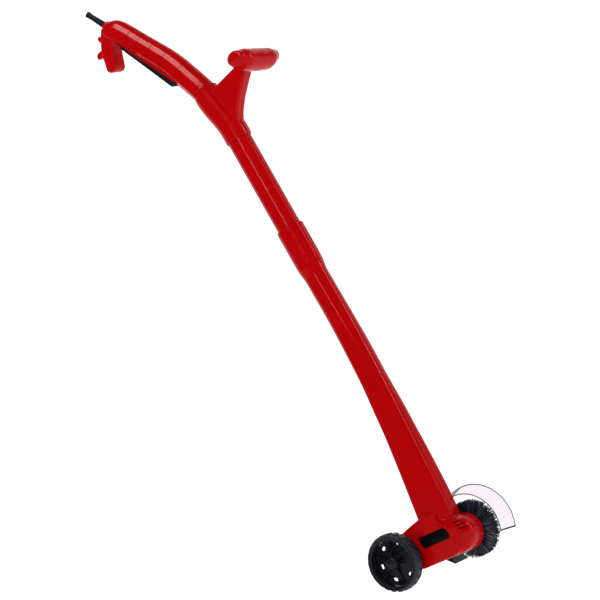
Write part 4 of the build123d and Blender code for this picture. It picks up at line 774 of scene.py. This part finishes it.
# ------------------------------------------------------------------ stage, light, camera
verts, faces = [], []
profile = [(-9.0, 0.0), (2.2, 0.0)] + [(2.2 + 1.6 * math.sin(a), 1.6 - 1.6 * math.cos(a)) for a in np.linspace(0.1, math.pi / 2, 16)] + [(3.8, 7.0)]
fwd = Vector((-0.5776, 0.8082, 0)).normalized()       # away from the camera, on the ground
side = Vector((fwd.y, -fwd.x, 0))
for s in (-9.0, 9.0):
    for d, z in profile:
        p = fwd * d + side * s
        verts.append((p.x, p.y, z - 0.0004))
n = len(profile)
faces = [(i, i + 1, n + i + 1, n + i) for i in range(n - 1)]
mesh = bpy.data.meshes.new("floor")
mesh.from_pydata(verts, [], faces)
floor = bpy.data.objects.new("floor", mesh)
scene.collection.objects.link(floor)
smooth(floor)
fmat, ftree, fbsdf = shader("pale_floor")
fnoise = noise(ftree, 3.0, 2.0)
fcol = ramp(ftree, fnoise.outputs["Fac"], [(0.3, (0.45, 0.45, 0.45)), (0.7, (0.46, 0.46, 0.46))])
ftree.links.new(fcol.outputs["Color"], fbsdf.inputs["Base Color"])
fbsdf.inputs["Roughness"].default_value = 0.9
fbsdf.inputs["Specular IOR Level"].default_value = 0.0
fbsdf.inputs["Emission Color"].default_value = (1.0, 1.0, 1.0, 1)
fbsdf.inputs["Emission Strength"].default_value = 0.90
paint(floor, fmat)

world = bpy.data.worlds.new("soft_room")
scene.world = world
world.use_nodes = True
world.node_tree.nodes["Background"].inputs["Color"].default_value = (1.0, 1.0, 1.0, 1)
world.node_tree.nodes["Background"].inputs["Strength"].default_value = 0.14


def softbox(name, direction, distance, width, height, watts, target=(0, 0, 0.6), along=(1, 0, 0)):
    data = bpy.data.lights.new(name, "AREA")
    data.shape, data.size, data.size_y, data.energy = "RECTANGLE", width, height, watts
    ob = bpy.data.objects.new(name, data)
    scene.collection.objects.link(ob)
    d = Vector(direction).normalized()
    along = Vector(along)
    x = (along - d * along.dot(d)).normalized()
    turn = Matrix((x, d.cross(x), d)).transposed()
    ob.matrix_world = Matrix.Translation(Vector(target) + d * distance) @ turn.to_4x4()
    return ob


softbox("beam_strip", (0.125, -0.62, 0.76), 3.0, 1.7, 0.45, 56, (-0.08, 0, 1.03), (-0.77, 0.37, 0.52))
softbox("tube_strip", (0.36, -0.85, 0.38), 3.0, 1.7, 0.10, 22, (0.0, 0, 0.75), (0, 0, 1))
softbox("front_strip", (0.848, 0.509, 0.15), 3.0, 2.0, 0.10, 26, (0.05, 0, 0.5), (0, 0, 1))

cam_data = bpy.data.cameras.new("camera")
cam = bpy.data.objects.new("camera", cam_data)
scene.collection.objects.link(cam)
cam_data.sensor_width, cam_data.lens = 36.0, 133.38
right, upv, back = Vector((0.71834, 0.56997, -0.39890)), Vector((0.38772, 0.14809, 0.90980)), Vector((0.57763, -0.80821, -0.11461))
rot = Matrix((right, upv, back)).transposed()
cam.matrix_world = Matrix.Translation(Vector((2.19855, -3.06955, 0.08637))) @ rot.to_4x4()
cam_data.clip_start, cam_data.clip_end = 0.1, 60
scene.camera = cam
scene.view_settings.view_transform = "Standard"
scene.view_settings.look = "None"
scene.view_settings.exposure = 0.0
